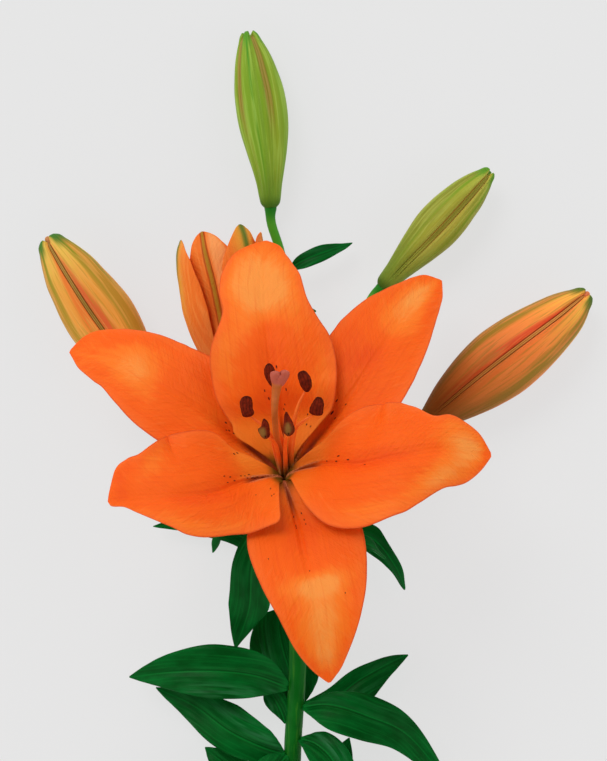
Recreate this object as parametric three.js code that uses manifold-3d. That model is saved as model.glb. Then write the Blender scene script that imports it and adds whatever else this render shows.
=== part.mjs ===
// A cut stem of an orange hybrid lily, lying on its back on a flat surface.
// Millimetres and degrees. +Y runs along the stem towards the flowers, +Z up from the surface.
// One bloom is fully open, a second is half open behind it, and four buds are still closed.
import * as THREE from "three";
import Module from "manifold-3d";
import { mergeVertices } from "three/addons/utils/BufferGeometryUtils.js";

const wasm = await Module();
wasm.setup();

// Driving dimensions
const restCentre = [-5.2, 92, 0]; // moves the lily so that the middle of its footprint is at the origin
const touchGap = 0.35; // air between two pieces that touch
const stemRadius = 3.7;
const stalkRadius = 2.1; // of a flower stalk
const receptacleRadius = 6.4; // the stalk's widened end, which carries a bloom
const budStalkEnd = 2.8; // radius under a closed bud
const leafThickness = 0.75;

const stemFoot = -330; // y of the cut end
const stemHead = -52; // y where the stem ends in flower stalks
const cutSlant = 35;
const stemX = [[-330, -6], [-264, -6.5], [-203, -6], [-154, -4.5], [-120, -2.5], [-92, -3], [-52, -5.5]];
const stemZ = [
  [-330, 3.53], [-320, 3.53], [-310, 3.53], [-300, 3.7], [-264, 5.5], [-203, 8], [-154, 11], [-120, 14],
  [-92, 15.5], [-52, 17],
];

const bloomSeat = [-5.5, -50, 44]; // middle of the open bloom's receptacle
const bloomTilt = 30; // a flower's axis leans this far from straight up, towards the head of the stem
const bloomHeading = 5; // and is then turned this far to the left
const openingSeat = [-24, -26.5, 18];
const openingTilt = 89.5;
const openingHeading = 8.3;

const petalOrange = 0xff5a1e;
const sepalOrange = 0xf8561c;
const leafGreen = 0x0a5a22;
const stemGreen = 0x2f6b22;
const pistilOrange = 0xd9542a;
const filamentOrange = 0xe8602a;
const antherBrown = 0x4a1410;
const budGreen = 0x7f9a2e;
const budYellow = 0xb5a338;
const budOrange = 0xd97a35;

const degrees = THREE.MathUtils.degToRad;
const vector = (p) => new THREE.Vector3(...p);

// A smooth value through [station, value] pairs: cubic Hermite spans, with slopes from the neighbours.
function along(pairs, u) {
  const last = pairs.length - 1;
  const slope = (i) => {
    const a = pairs[Math.max(i - 1, 0)];
    const b = pairs[Math.min(i + 1, last)];
    return (b[1] - a[1]) / (b[0] - a[0]);
  };
  let i = 0;
  while (i < last - 1 && u > pairs[i + 1][0]) i += 1;
  const [x0, y0] = pairs[i];
  const [x1, y1] = pairs[i + 1];
  const span = x1 - x0;
  const t = Math.min(Math.max((u - x0) / span, 0), 1);
  const s = t * t;
  const c = s * t;
  return (
    (2 * c - 3 * s + 1) * y0 + (c - 2 * s + t) * span * slope(i) +
    (3 * s - 2 * c) * y1 + (c - s) * span * slope(i + 1)
  );
}

const curveThrough = (points) =>
  new THREE.CatmullRomCurve3(points.map(vector), false, "catmullrom", 0.5);

// A closed solid from rings of equal length, with a fan over each end.
function solidFromRings(rings) {
  const sides = rings[0].length;
  const places = rings.flat();
  const faces = [];
  for (let r = 0; r + 1 < rings.length; r += 1) {
    for (let k = 0; k < sides; k += 1) {
      const a = r * sides + k;
      const b = r * sides + ((k + 1) % sides);
      faces.push(a, b, b + sides, a, b + sides, a + sides);
    }
  }
  const middle = (ring) =>
    ring.reduce((sum, p) => sum.add(p), new THREE.Vector3()).divideScalar(sides);
  const foot = places.push(middle(rings[0])) - 1;
  const top = places.push(middle(rings.at(-1))) - 1;
  const lastRing = (rings.length - 1) * sides;
  for (let k = 0; k < sides; k += 1) {
    const next = (k + 1) % sides;
    faces.push(foot, next, k, top, lastRing + k, lastRing + next);
  }
  const geometry = new THREE.BufferGeometry().setFromPoints(places);
  geometry.setIndex(faces);
  return geometry;
}

// A round body along a curve. radiusAt gives the radius at (u, angle), where angle 0 faces `facing`.
function roundBody(points, radiusAt, angles, stations, facing) {
  const curve = curveThrough(points);
  const rings = stations.map((u) => {
    const centre = curve.getPoint(u);
    const ahead = curve.getTangent(u);
    const first = vector(facing).addScaledVector(ahead, -vector(facing).dot(ahead)).normalize();
    const second = new THREE.Vector3().crossVectors(ahead, first);
    return angles.map((angle) =>
      centre
        .clone()
        .addScaledVector(first, Math.cos(angle) * radiusAt(u, angle))
        .addScaledVector(second, Math.sin(angle) * radiusAt(u, angle)),
    );
  });
  return solidFromRings(rings);
}

const evenAngles = (count) =>
  Array.from({ length: count }, (_, k) => (2 * Math.PI * k) / count);
const evenStations = (count) => Array.from({ length: count + 1 }, (_, k) => k / count);

function tube(points, radii, sides, spans, facing = [1, 0, 0]) {
  return roundBody(points, (u) => along(radii, u), evenAngles(sides), evenStations(spans), facing);
}

// A thin blade, such as a petal or a leaf. At each station its cross-section is an arc of the
// given bend, folded along the middle into a groove, with a wave that grows towards the margins.
function blade(shape, rows, columns) {
  const curve = curveThrough(shape.midrib);
  const lateral = vector(shape.lateral ?? [0, 1, 0]);
  const count = columns.length;
  const sheet = [];
  for (let r = 0; r <= rows; r += 1) {
    const u = r / rows;
    const centre = curve.getPoint(u);
    const ahead = curve.getTangent(u);
    const flat = lateral.clone().addScaledVector(ahead, -lateral.dot(ahead)).normalize();
    const roll = degrees(along(shape.roll ?? [[0, 0], [1, 0]], u));
    const across = flat.applyAxisAngle(ahead, roll);
    const inward = new THREE.Vector3().crossVectors(ahead, across);
    const bend = along(shape.bend, u) + 1e-6;
    const groove = along(shape.groove, u);
    for (const v of columns) {
      const half = along(v < 0 ? shape.left : shape.right, u);
      const s = v * half;
      const wave = along(v < 0 ? shape.leftWave : shape.rightWave, u) * Math.abs(v) ** 3;
      const lift =
        (1 - Math.cos(bend * s)) / bend +
        groove * (1 - Math.exp(-((s / shape.grooveWidth) ** 2))) + wave;
      sheet.push(
        centre
          .clone()
          .addScaledVector(across, Math.sin(bend * s) / bend)
          .addScaledVector(inward, lift),
      );
    }
  }
  return thicken(sheet, rows, count, (u, v) => along(shape.thickness, u) * (1 - 0.2 * v * v), columns);
}

// Gives a grid of points a thickness along its own normals, and closes it round the edge.
function thicken(sheet, rows, count, thicknessAt, columns) {
  const at = (r, c) =>
    sheet[Math.min(Math.max(r, 0), rows) * count + Math.min(Math.max(c, 0), count - 1)];
  const inner = [];
  const outer = [];
  for (let r = 0; r <= rows; r += 1) {
    for (let c = 0; c < count; c += 1) {
      const lengthwise = at(r + 1, c).clone().sub(at(r - 1, c));
      const crosswise = at(r, c + 1).clone().sub(at(r, c - 1));
      const normal = lengthwise.cross(crosswise).normalize();
      const half = thicknessAt(r / rows, columns[c]) / 2;
      inner.push(at(r, c).clone().addScaledVector(normal, half));
      outer.push(at(r, c).clone().addScaledVector(normal, -half));
    }
  }
  const faces = [];
  const under = inner.length;
  for (let r = 0; r < rows; r += 1) {
    for (let c = 0; c + 1 < count; c += 1) {
      const a = r * count + c;
      const b = a + 1;
      const d = a + count;
      const e = d + 1;
      faces.push(a, d, e, a, e, b);
      faces.push(under + a, under + e, under + d, under + a, under + b, under + e);
    }
  }
  const wall = (a, b) => faces.push(a, b, under + b, a, under + b, under + a);
  for (let c = 0; c + 1 < count; c += 1) {
    wall(c, c + 1);
    wall(rows * count + c + 1, rows * count + c);
  }
  for (let r = 0; r < rows; r += 1) {
    wall((r + 1) * count, r * count);
    wall(r * count + count - 1, (r + 1) * count + count - 1);
  }
  const geometry = new THREE.BufferGeometry().setFromPoints([...inner, ...outer]);
  geometry.setIndex(faces);
  return geometry;
}

function named(name, geometry, color, roughness = 0.5) {
  const mesh = new THREE.Mesh(geometry, new THREE.MeshStandardMaterial({ color, roughness }));
  mesh.name = name;
  geometry.computeVertexNormals();
  return mesh;
}

// Joins closed solids into one, and takes the waste away from it.
function fused(geometries, waste) {
  const solidOf = (geometry) => {
    const bare = geometry.clone();
    bare.deleteAttribute("normal");
    bare.deleteAttribute("uv");
    const merged = mergeVertices(bare, 1e-4);
    return new wasm.Manifold(
      new wasm.Mesh({
        numProp: 3,
        vertProperties: Float32Array.from(merged.attributes.position.array),
        triVerts: Uint32Array.from(merged.index.array),
      }),
    );
  };
  let whole = geometries.map(solidOf).reduce((sum, solid) => sum.add(solid));
  if (waste) whole = whole.subtract(solidOf(waste));
  const mesh = whole.getMesh();
  const geometry = new THREE.BufferGeometry();
  const places = new THREE.BufferAttribute(Float32Array.from(mesh.vertProperties), 3);
  geometry.setAttribute("position", places);
  geometry.setIndex([...mesh.triVerts]);
  return geometry;
}

// A turned frame whose +Z is the flower's axis.
function flowerFrame(seat, tilt, heading) {
  const frame = new THREE.Group();
  frame.position.set(...seat);
  frame.rotation.set(degrees(-tilt), 0, degrees(heading), "ZXY");
  return frame;
}

// A place on a flower's axis, this far above its receptacle.
function onAxis(seat, tilt, heading, height) {
  const frame = flowerFrame(seat, tilt, heading);
  frame.updateMatrix();
  return new THREE.Vector3(0, 0, height).applyMatrix4(frame.matrix).toArray();
}

// The open bloom: three broad inner petals and three outer sepals. Each profile is in the petal's
// own frame, where +X runs out from the flower's axis, +Y across and +Z along the axis.
const petalColumns = [-1, -0.74, -0.46, -0.2, 0, 0.2, 0.46, 0.74, 1];
const petalRows = 14;

const innerPetal = {
  bend: [[0, 0.2], [0.16, 0.1], [0.36, 0.012], [0.6, -0.01], [1, -0.014]],
  groove: [[0, 0], [0.15, 0.6], [0.35, 2.6], [0.6, 1.6], [1, 0.2]],
  grooveWidth: 4,
  thickness: [[0, 1], [0.2, 1.1], [0.6, 1], [1, 0.8]],
};

const outerSepal = {
  bend: [[0, 0.16], [0.16, 0.08], [0.36, 0.012], [0.6, 0], [1, -0.006]],
  groove: [[0, 0], [0.15, 0.3], [0.35, 0.8], [0.6, 0.5], [1, 0.2]],
  grooveWidth: 4,
  thickness: [[0, 1], [0.2, 1.1], [0.6, 1], [1, 0.8]],
};

const bloomPetals = [
  {
    name: "bloom_petal_top",
    turn: 91,
    midrib: [
      [4.4, 0, 0.6], [7.5, 0, 16], [22.5, -0.5, 31], [39.5, 0, 43],
      [57.5, 1.3, 51], [82, 1.8, 52], [98.5, -1.5, 46],
    ],
    left: [
      [0, 3.4], [0.16, 5.8], [0.3, 12], [0.42, 21], [0.54, 24.5],
      [0.66, 20.5], [0.78, 16], [0.9, 10.5], [1, 1.8],
    ],
    right: [
      [0, 3.4], [0.16, 5.8], [0.3, 16.5], [0.42, 24.5], [0.54, 25.5],
      [0.66, 20.5], [0.78, 17], [0.9, 11], [1, 1.8],
    ],
    leftWave: [[0, 0], [0.4, 1], [0.6, -1.5], [0.75, 1], [1, 0]],
    rightWave: [[0, 0], [0.4, 0], [0.55, -1], [0.68, 2], [0.8, -1], [1, 0]],
    ...innerPetal,
  },
  {
    name: "bloom_petal_left",
    turn: 198,
    midrib: [
      [4.4, 0, 0.6], [7.5, 0, 16], [21, -0.5, 31], [33.5, 2, 43],
      [46.5, 3, 50], [60.5, -2.5, 50], [71, -7.5, 43],
    ],
    left: [
      [0, 3.4], [0.16, 5.8], [0.3, 14.5], [0.42, 24.5], [0.54, 27.5],
      [0.66, 25], [0.78, 20], [0.9, 12.5], [1, 1.7],
    ],
    right: [
      [0, 3.4], [0.16, 6.5], [0.3, 24], [0.42, 24], [0.54, 20.5],
      [0.66, 15.5], [0.78, 10.5], [0.9, 6.5], [1, 1.8],
    ],
    leftWave: [[0, 0], [0.35, 0], [0.5, 1], [0.64, -0.5], [0.8, 1.5], [1, 0]],
    rightWave: [[0, 0], [0.3, 1], [0.5, -1.5], [0.7, 1.5], [0.85, -1], [1, 0]],
    ...innerPetal,
  },
  {
    name: "bloom_petal_right",
    turn: 340,
    midrib: [
      [4.4, 0, 0.6], [7.5, 0, 16], [16, 3, 31], [30, 3.5, 43],
      [46, 9, 50], [66, 15, 50], [79, 19, 43],
    ],
    left: [
      [0, 3.4], [0.16, 6.5], [0.3, 24], [0.42, 28], [0.54, 28],
      [0.66, 24.5], [0.78, 18.5], [0.9, 11.5], [1, 2],
    ],
    right: [
      [0, 3.4], [0.16, 5.8], [0.3, 14], [0.42, 22], [0.54, 26.5],
      [0.66, 24.5], [0.78, 17.5], [0.9, 10], [1, 1.7],
    ],
    leftWave: [[0, 0], [0.35, 0], [0.5, -1.5], [0.65, 2], [0.8, -1], [1, 0]],
    rightWave: [[0, 0], [0.4, 0], [0.55, -2], [0.64, 3], [0.75, -2], [0.9, 1], [1, 0]],
    ...innerPetal,
  },
  {
    name: "bloom_sepal_left",
    turn: 144,
    midrib: [
      [5.8, 0, 0.6], [10.5, 0, 15], [27.5, -3.5, 27], [47, -3, 36],
      [67, -2.5, 40], [89, -4.5, 38], [105.5, -1.5, 31],
    ],
    left: [
      [0, 4.2], [0.16, 8], [0.3, 17], [0.42, 21], [0.54, 22],
      [0.66, 21], [0.78, 17.5], [0.9, 11], [1, 1.8],
    ],
    right: [
      [0, 4.2], [0.16, 8], [0.3, 17], [0.42, 21], [0.54, 21],
      [0.66, 18], [0.78, 14], [0.9, 9.5], [1, 1.8],
    ],
    leftWave: [[0, 0], [0.4, 0], [0.6, 1], [0.75, -1], [1, 0]],
    rightWave: [[0, 0], [0.5, 0], [0.7, 1], [0.85, -1], [1, 0]],
    ...outerSepal,
  },
  {
    name: "bloom_sepal_right",
    turn: 40,
    midrib: [
      [5.8, 0, 0.6], [10.5, 0, 15], [28.5, 3.5, 27], [46.5, 5, 36],
      [69, 9.5, 40], [90, 14, 38], [106, 17.5, 31],
    ],
    left: [
      [0, 4.2], [0.16, 8], [0.3, 17], [0.42, 21], [0.54, 20.5],
      [0.66, 17.5], [0.78, 12.5], [0.9, 7.5], [1, 1.5],
    ],
    right: [
      [0, 4.2], [0.16, 8], [0.3, 17], [0.42, 21], [0.54, 22],
      [0.66, 20], [0.78, 15], [0.9, 9], [1, 1.8],
    ],
    leftWave: [[0, 0], [0.4, 0], [0.6, 1], [0.8, -1], [1, 0]],
    rightWave: [[0, 0], [0.45, 1], [0.6, -1.5], [0.8, 1], [1, 0]],
    ...outerSepal,
  },
  {
    name: "bloom_sepal_bottom",
    turn: 275,
    midrib: [
      [5.8, 0, 0.6], [10.5, 0, 15], [29, 0, 26], [49.5, 1.5, 34],
      [65.5, 1.8, 35], [79.5, 1.4, 28], [88, 2, 16],
    ],
    left: [
      [0, 4.2], [0.16, 8], [0.3, 18], [0.42, 21], [0.54, 19],
      [0.66, 15.5], [0.78, 11.5], [0.9, 7], [1, 1.4],
    ],
    right: [
      [0, 4.2], [0.16, 8], [0.3, 18], [0.42, 23], [0.54, 22],
      [0.66, 18.5], [0.78, 13.5], [0.9, 8], [1, 1.4],
    ],
    leftWave: [[0, 0], [0.45, 0], [0.65, 1], [1, 0]],
    rightWave: [[0, 0], [0.45, 1], [0.6, -1], [0.75, 1], [1, 0]],
    ...outerSepal,
  },
];

// Six stamens stand round the style, each an anther balanced across the end of a thin filament.
// The style and the stamens bow towards the flower's upper side.
const styleBow = 0.0028;
const stamens = [
  { name: "top", turn: 105, anther: [[-5.6, 31.6, 59], [-1.9, 23.4, 56]] },
  { name: "upper_right", turn: 45, anther: [[7.7, 25.9, 60], [12.3, 19.5, 57]] },
  { name: "lower_right", turn: 345, anther: [[15.3, 13.9, 60], [11.4, 9.2, 56]] },
  { name: "bottom", turn: 285, anther: [[1.5, 5.9, 65], [3.2, -2.2, 61]] },
  { name: "lower_left", turn: 225, anther: [[-5.4, 5.3, 62], [-9.9, -2.1, 58]] },
  { name: "upper_left", turn: 165, anther: [[-14.9, 17.4, 58], [-11.7, 9, 58]] },
];

function filament(stamen) {
  const { x, y, z } = vector(stamen.anther[0]).lerp(vector(stamen.anther[1]), 0.5);
  const angle = degrees(stamen.turn);
  const beside = (height, radius) => [
    Math.cos(angle) * radius,
    Math.sin(angle) * radius + styleBow * height ** 2,
    height,
  ];
  const points = [beside(0.95, 3), beside(12, 3.3), beside(26, 4), beside(40, 7), [x, y, z - 2.2]];
  return tube(points, [[0, 0.55], [0.8, 0.5], [1, 0.4]], 6, 9);
}

function anther(ends) {
  const middle = vector(ends[0]).lerp(vector(ends[1]), 0.5).add(new THREE.Vector3(0, 0, 0.7));
  const girth = [[0, 0.8], [0.2, 1.7], [0.5, 1.9], [0.8, 1.7], [1, 0.8]];
  return tube([ends[0], middle.toArray(), ends[1]], girth, 8, 5);
}

// The pistil is an ovary, a long style and a stigma with three lobes.
function pistil() {
  const points = [1, 14, 30, 48, 64, 76].map((height) => [0, styleBow * height ** 2, height]);
  const girth = [
    [0, 1.6], [0.06, 1.9], [0.18, 1.8], [0.24, 1.15], [0.88, 1.2], [0.94, 2.2], [0.97, 3.2], [1, 2.8],
  ];
  const lobes = [[0, 0.06], [0.2, 0.02], [0.85, 0.02], [0.96, 0.22], [1, 0.25]];
  const radiusAt = (u, angle) => along(girth, u) * (1 + along(lobes, u) * Math.cos(3 * angle));
  const stations = [0, 0.06, 0.14, 0.2, 0.25, 0.35, 0.5, 0.65, 0.8, 0.88, 0.93, 0.97, 1];
  return roundBody(points, radiusAt, evenAngles(12), stations, [0, -1, 0]);
}

// The half-open bloom keeps its six petals furled into a trumpet with their tips apart.
const openingColumns = [-1, -0.6, -0.25, 0, 0.25, 0.6, 1];
const furledPetal = {
  midrib: [[4.2, 0, 0.6], [5.2, 0, 16], [8, 0, 34], [12, 0, 54], [15, 0, 70], [15, 0, 82], [13.5, 0, 88]],
  left: [[0, 2.2], [0.2, 4.6], [0.5, 9.4], [0.72, 11.5], [0.88, 8], [1, 1.2]],
  right: [[0, 2.2], [0.2, 4.6], [0.5, 9.4], [0.72, 11.5], [0.88, 8], [1, 1.2]],
  bend: [[0, 0.2], [0.3, 0.14], [0.6, 0.075], [1, 0.06]],
  groove: [[0, 0], [1, 0]],
  grooveWidth: 3,
  leftWave: [[0, 0], [1, 0]],
  rightWave: [[0, 0], [1, 0]],
  thickness: [[0, 1], [0.5, 1.1], [1, 0.8]],
};
const furledSepal = {
  ...furledPetal,
  midrib: [
    [5.7, 0, 0.6], [7.2, 0, 16], [10.3, 0, 34], [14.5, 0, 54],
    [17.6, 0, 70], [18, 0, 82], [17, 0, 88],
  ],
  left: [[0, 2.8], [0.2, 5], [0.5, 9.8], [0.72, 11.5], [0.88, 8], [1, 1.2]],
  right: [[0, 2.8], [0.2, 5], [0.5, 9.8], [0.72, 11.5], [0.88, 8], [1, 1.2]],
  bend: [[0, 0.17], [0.3, 0.11], [0.6, 0.065], [1, 0.05]],
};
const openingPetals = [
  { name: "opening_sepal_upper", turn: 252, ...furledSepal },
  { name: "opening_sepal_right", turn: 12, ...furledSepal },
  { name: "opening_sepal_lower", turn: 132, ...furledSepal },
  { name: "opening_petal_left", turn: 192, ...furledPetal },
  { name: "opening_petal_upper", turn: 312, ...furledPetal },
  { name: "opening_petal_lower", turn: 72, ...furledPetal },
];

// Its style and six stamens stand on one small disc.
function openingStamens() {
  const solids = [tube([[0, 0, 1], [0, 0, 2.4]], [[0, 3.2], [1, 3.2]], 12, 1)];
  const style = [[0, 1.6], [0.25, 1.3], [0.9, 1.1], [1, 2]];
  solids.push(tube([[0, 0, 1.6], [0, 0, 30], [0, 0, 62]], style, 8, 6));
  for (let k = 0; k < 6; k += 1) {
    const at = (radius, height) => [
      Math.cos((k * Math.PI) / 3) * radius,
      Math.sin((k * Math.PI) / 3) * radius,
      height,
    ];
    solids.push(tube([at(2.5, 1.6), at(3.4, 26), at(5, 48)], [[0, 0.5], [1, 0.45]], 5, 5));
    const girth = [[0, 0.7], [0.3, 1.5], [0.8, 1.4], [1, 0.6]];
    solids.push(tube([at(5, 46), at(5.3, 51), at(5.4, 56)], girth, 6, 4));
  }
  return fused(solids);
}

function bloomFrame(seat, tilt, heading, petals, rows, columns) {
  const frame = flowerFrame(seat, tilt, heading);
  for (const petal of petals) {
    const colour = petal.name.includes("sepal") ? sepalOrange : petalOrange;
    const mesh = named(petal.name, blade(petal, rows, columns), colour);
    mesh.rotation.z = degrees(petal.turn);
    frame.add(mesh);
  }
  return frame;
}

// A closed bud. Three broad outer sepals meet along three narrow strips of the petals inside them.
const budAngles = [0, 120, 240].flatMap((c) =>
  [-26, -13, 0, 13, 26, 46, 74].map((a) => degrees(c + a)),
);
const budStations = [0, 0.04, 0.12, 0.22, 0.34, 0.46, 0.58, 0.7, 0.8, 0.88, 0.94, 0.98, 1];
const budRidges = [[0, 1.02], [13, 0.95], [26, 1], [46, 1.03], [60, 1.05]];

function bud(shape) {
  const radiusAt = (u, angle) => {
    const turned = ((THREE.MathUtils.radToDeg(angle) % 120) + 120) % 120;
    return along(shape.girth, u) * along(budRidges, Math.min(turned, 120 - turned));
  };
  return roundBody(shape.points, radiusAt, budAngles, budStations, shape.facing);
}

// The stalk of each bud runs from the stem to the bud's foot.
const buds = [
  {
    name: "bud_top",
    colour: budGreen,
    points: [
      [-14, 73.5, 8.1], [-15, 93.5, 9.4], [-17, 114.5, 9.96],
      [-21.5, 133.5, 9.45], [-24.5, 148, 8.8],
    ],
    girth: [[0, 3], [0.12, 6], [0.3, 8.8], [0.5, 9.9], [0.72, 8.5], [0.88, 5.8], [0.97, 3.3], [1, 1.8]],
    facing: [0.5, 0, 1],
    stalk: [[-5.4, -60, 16.5], [-5, -21, 13], [-6, 17, 9.5], [-9, 50, 7.6]],
  },
  {
    name: "bud_upper_right",
    colour: budYellow,
    points: [[32.5, 38.5, 11], [45.5, 54.5, 12], [60.5, 71, 12], [71, 82, 11.5], [78.5, 89.5, 11]],
    girth: [[0, 3], [0.12, 5.4], [0.3, 8], [0.5, 8.9], [0.72, 7.6], [0.88, 4.8], [0.97, 2.4], [1, 1.2]],
    facing: [0.2, 0, 1],
    stalk: [[-5.2, -64, 16], [6, -21, 14], [17.5, 13, 11]],
  },
  {
    name: "bud_right",
    colour: budOrange,
    points: [
      [52, -18.5, 11.3], [70.5, -3, 12.9], [91.5, 13.5, 13.43],
      [108.5, 27, 12.7], [120, 38, 11.7],
    ],
    girth: [[0, 3.4], [0.12, 7], [0.3, 11.2], [0.5, 13.3], [0.7, 12.3], [0.86, 8.4], [0.96, 4.2], [1, 2]],
    facing: [0, 0, 1],
    stalk: [[-4.4, -72, 15.5], [13.5, -44, 13], [34, -30, 11]],
  },
  {
    name: "bud_left",
    colour: budOrange,
    points: [
      [-62.5, -10, 10.3], [-76.5, 12.5, 12.2], [-90.5, 33.5, 12.6],
      [-100.5, 48.5, 11.8], [-109, 61, 11],
    ],
    girth: [[0, 3.4], [0.12, 7], [0.3, 11.2], [0.5, 12.6], [0.7, 11.4], [0.86, 7.8], [0.96, 4], [1, 2]],
    facing: [0, 0, 1],
    stalk: [[-3.8, -78, 15.5], [-24, -50, 13.5], [-46, -28, 11]],
  },
];

// The stem and its flower stalks are one piece. Each stalk ends under a bud or widens under a bloom.
function stem() {
  const heights = evenStations(24).map((u) => stemFoot - 6 + (stemHead - stemFoot + 6) * u);
  const centreLine = heights.map((y) => [along(stemX, y), y, along(stemZ, y)]);
  const taper = [[0, stemRadius], [0.8, stemRadius], [1, 3.4]];
  const angles = evenAngles(10).map((angle) => angle + degrees(18));
  const shaft = roundBody(centreLine, (u) => along(taper, u), angles, evenStations(24), [0, 0, -1]);
  const solids = [shaft];
  for (const { points, stalk } of buds) {
    const foot = vector(points[0]);
    const back = curveThrough(points).getTangent(0).negate();
    const ends = [7, touchGap].map((gap) => foot.clone().addScaledVector(back, gap).toArray());
    const girth = [[0, 2.4], [0.5, stalkRadius], [0.85, stalkRadius], [1, budStalkEnd]];
    solids.push(tube([...stalk, ...ends], girth, 8, 10, [0, 0, 1]));
  }
  const bloomAxis = (height) => onAxis(bloomSeat, bloomTilt, bloomHeading, height);
  const bloomStalk = [[-4.4, -76, 15], [-4.6, -66, 23], bloomAxis(-10), bloomAxis(0)];
  const widening = [[0, 2.6], [0.6, 2.5], [0.8, 3.4], [1, receptacleRadius]];
  solids.push(tube(bloomStalk, widening, 12, 10, [1, 0, 0]));
  const openingAxis = (height) => onAxis(openingSeat, openingTilt, openingHeading, height);
  const openingStalk = [[-4.8, -68, 15.5], [-13, -52, 17], openingAxis(-9), openingAxis(0)];
  solids.push(tube(openingStalk, widening, 12, 10, [1, 0, 0]));
  return solids;
}

// The cut end is a flat slanting face.
function cutStem() {
  const waste = new THREE.BoxGeometry(30, 30, 30);
  waste.translate(0, -15, 0);
  waste.rotateX(degrees(cutSlant));
  waste.translate(stemX[0][1], stemFoot, stemZ[0][1]);
  return fused(stem(), waste);
}

// Leaves and bracts. Each starts at the surface of the stem, at y = foot, or at a place of its own.
const leafOutline = [[0, 0.32], [0.15, 0.62], [0.4, 0.98], [0.55, 1], [0.75, 0.72], [0.9, 0.36], [1, 0.1]];

function leaf(shape) {
  const towards = vector(shape.midrib[0]);
  const start = shape.start ? vector(shape.start) : leafFoot(shape.foot, towards, shape.half);
  const midrib = [start.toArray(), ...shape.midrib];
  const run = vector(midrib.at(-1)).sub(start);
  const width = leafOutline.map(([u, share]) => [u, share * shape.half]);
  const twist = shape.roll ?? [0, 0];
  return blade(
    {
      midrib,
      lateral: [-run.y, run.x, 0],
      roll: [[0, twist[0]], [1, twist[1]]],
      left: width,
      right: width,
      bend: [[0, 0.06], [0.4, shape.bend ?? 0.02], [1, 0.01]],
      groove: [[0, 0.3], [0.3, 0.8], [1, 0.2]],
      grooveWidth: 2,
      leftWave: [[0, 0], [0.3, 0.8], [0.55, -0.8], [0.8, 0.6], [1, 0]],
      rightWave: [[0, 0], [0.35, -0.8], [0.6, 0.8], [0.85, -0.5], [1, 0]],
      thickness: [[0, leafThickness], [1, leafThickness]],
    },
    8,
    [-1, -0.5, 0, 0.5, 1],
  );
}

function leafFoot(y, towards, half) {
  const centre = new THREE.Vector3(along(stemX, y), y, along(stemZ, y));
  const out = towards.clone().sub(centre);
  const slant = Math.abs(out.y) / out.length();
  out.setY(0).normalize();
  const clear = touchGap + 0.37 + 0.8 * half * leafOutline[0][1] * slant;
  return centre.addScaledVector(out, stemRadius + clear);
}

const leaves = [
  {
    name: "leaf_left_large", foot: -127, half: 11.5,
    midrib: [[-20.5, -123.5, 20], [-37, -121, 22], [-56, -122, 18], [-73.5, -125.5, 11]],
  },
  {
    name: "leaf_left_lower", foot: -155, half: 11,
    midrib: [[-20.5, -151, 14], [-36.5, -144.5, 13.5], [-50, -138, 9.5], [-63, -131.5, 5]],
  },
  {
    name: "leaf_left_bottom", foot: -158, half: 8.5,
    midrib: [[-14, -166, 20], [-22.5, -180, 26], [-30.5, -200, 25]],
  },
  {
    name: "leaf_right_large", foot: -135.5, half: 12,
    midrib: [[17.5, -137.5, 24], [34, -143, 24], [49, -156.5, 19], [63, -177.5, 12]],
  },
  {
    name: "leaf_right_back", foot: -137, half: 9.5,
    midrib: [[13.5, -134, 11], [24, -126.5, 11], [34.5, -121.5, 9], [44, -117, 6]],
  },
  {
    name: "leaf_right_shiny", foot: -151.5, half: 8,
    midrib: [[6, -153.5, 19], [13, -161, 21], [17.5, -176.5, 17], [19.5, -194.5, 11]],
  },
  {
    name: "leaf_right_under", foot: -180, half: 8,
    midrib: [[8, -176.5, 10], [14.5, -163.5, 10], [19.5, -152, 6]],
  },
  {
    name: "leaf_left_under", foot: -182, half: 7,
    midrib: [[-22, -172.5, 6], [-34.5, -162.5, 5], [-42, -156.5, 3]],
  },
  {
    name: "leaf_hanging", foot: -95, half: 8,
    midrib: [[-15, -86, 21], [-22.5, -88.5, 24], [-26.5, -101, 18], [-29, -112.5, 9]],
  },
  {
    name: "leaf_behind", start: [-3, -139, 7.8], half: 12,
    midrib: [[-3, -128, 4.6], [-6.5, -116, 2.6], [-8.5, -105.5, 2.2], [-7.5, -97, 2.5]],
  },
  {
    name: "leaf_short", foot: -146, half: 4.5,
    midrib: [[-11.5, -140, 21], [-17.5, -131, 26]],
  },
  {
    name: "leaf_crown_left", foot: -83, half: 5,
    midrib: [[-26.5, -66, 9], [-46, -60, 8], [-64, -61, 7]],
  },
  {
    name: "leaf_crown_left_small", foot: -88, half: 3.5,
    midrib: [[-20, -74, 14.5], [-31.5, -70, 16.5], [-38, -73, 15]],
  },
  {
    name: "leaf_crown_right", foot: -84, half: 5,
    midrib: [[13.5, -66, 13], [28, -66.5, 13], [38.5, -78.5, 10], [42.5, -88.5, 6]],
  },
  {
    name: "leaf_crown_right_small", foot: -92, half: 4.5,
    midrib: [[9, -78, 22], [24.5, -68.5, 24], [34.5, -75, 18]],
  },
  {
    name: "bract_upper", start: [-6.3, 46.5, 9.4], half: 3,
    midrib: [[0, 51, 12], [10.5, 55.5, 11], [20.5, 58.5, 6]],
  },
  {
    name: "bract_lower", start: [-3.9, 20, 11.5], half: 3,
    midrib: [[-1, 27.5, 13.5], [3.5, 34.5, 12]],
  },
];

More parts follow.
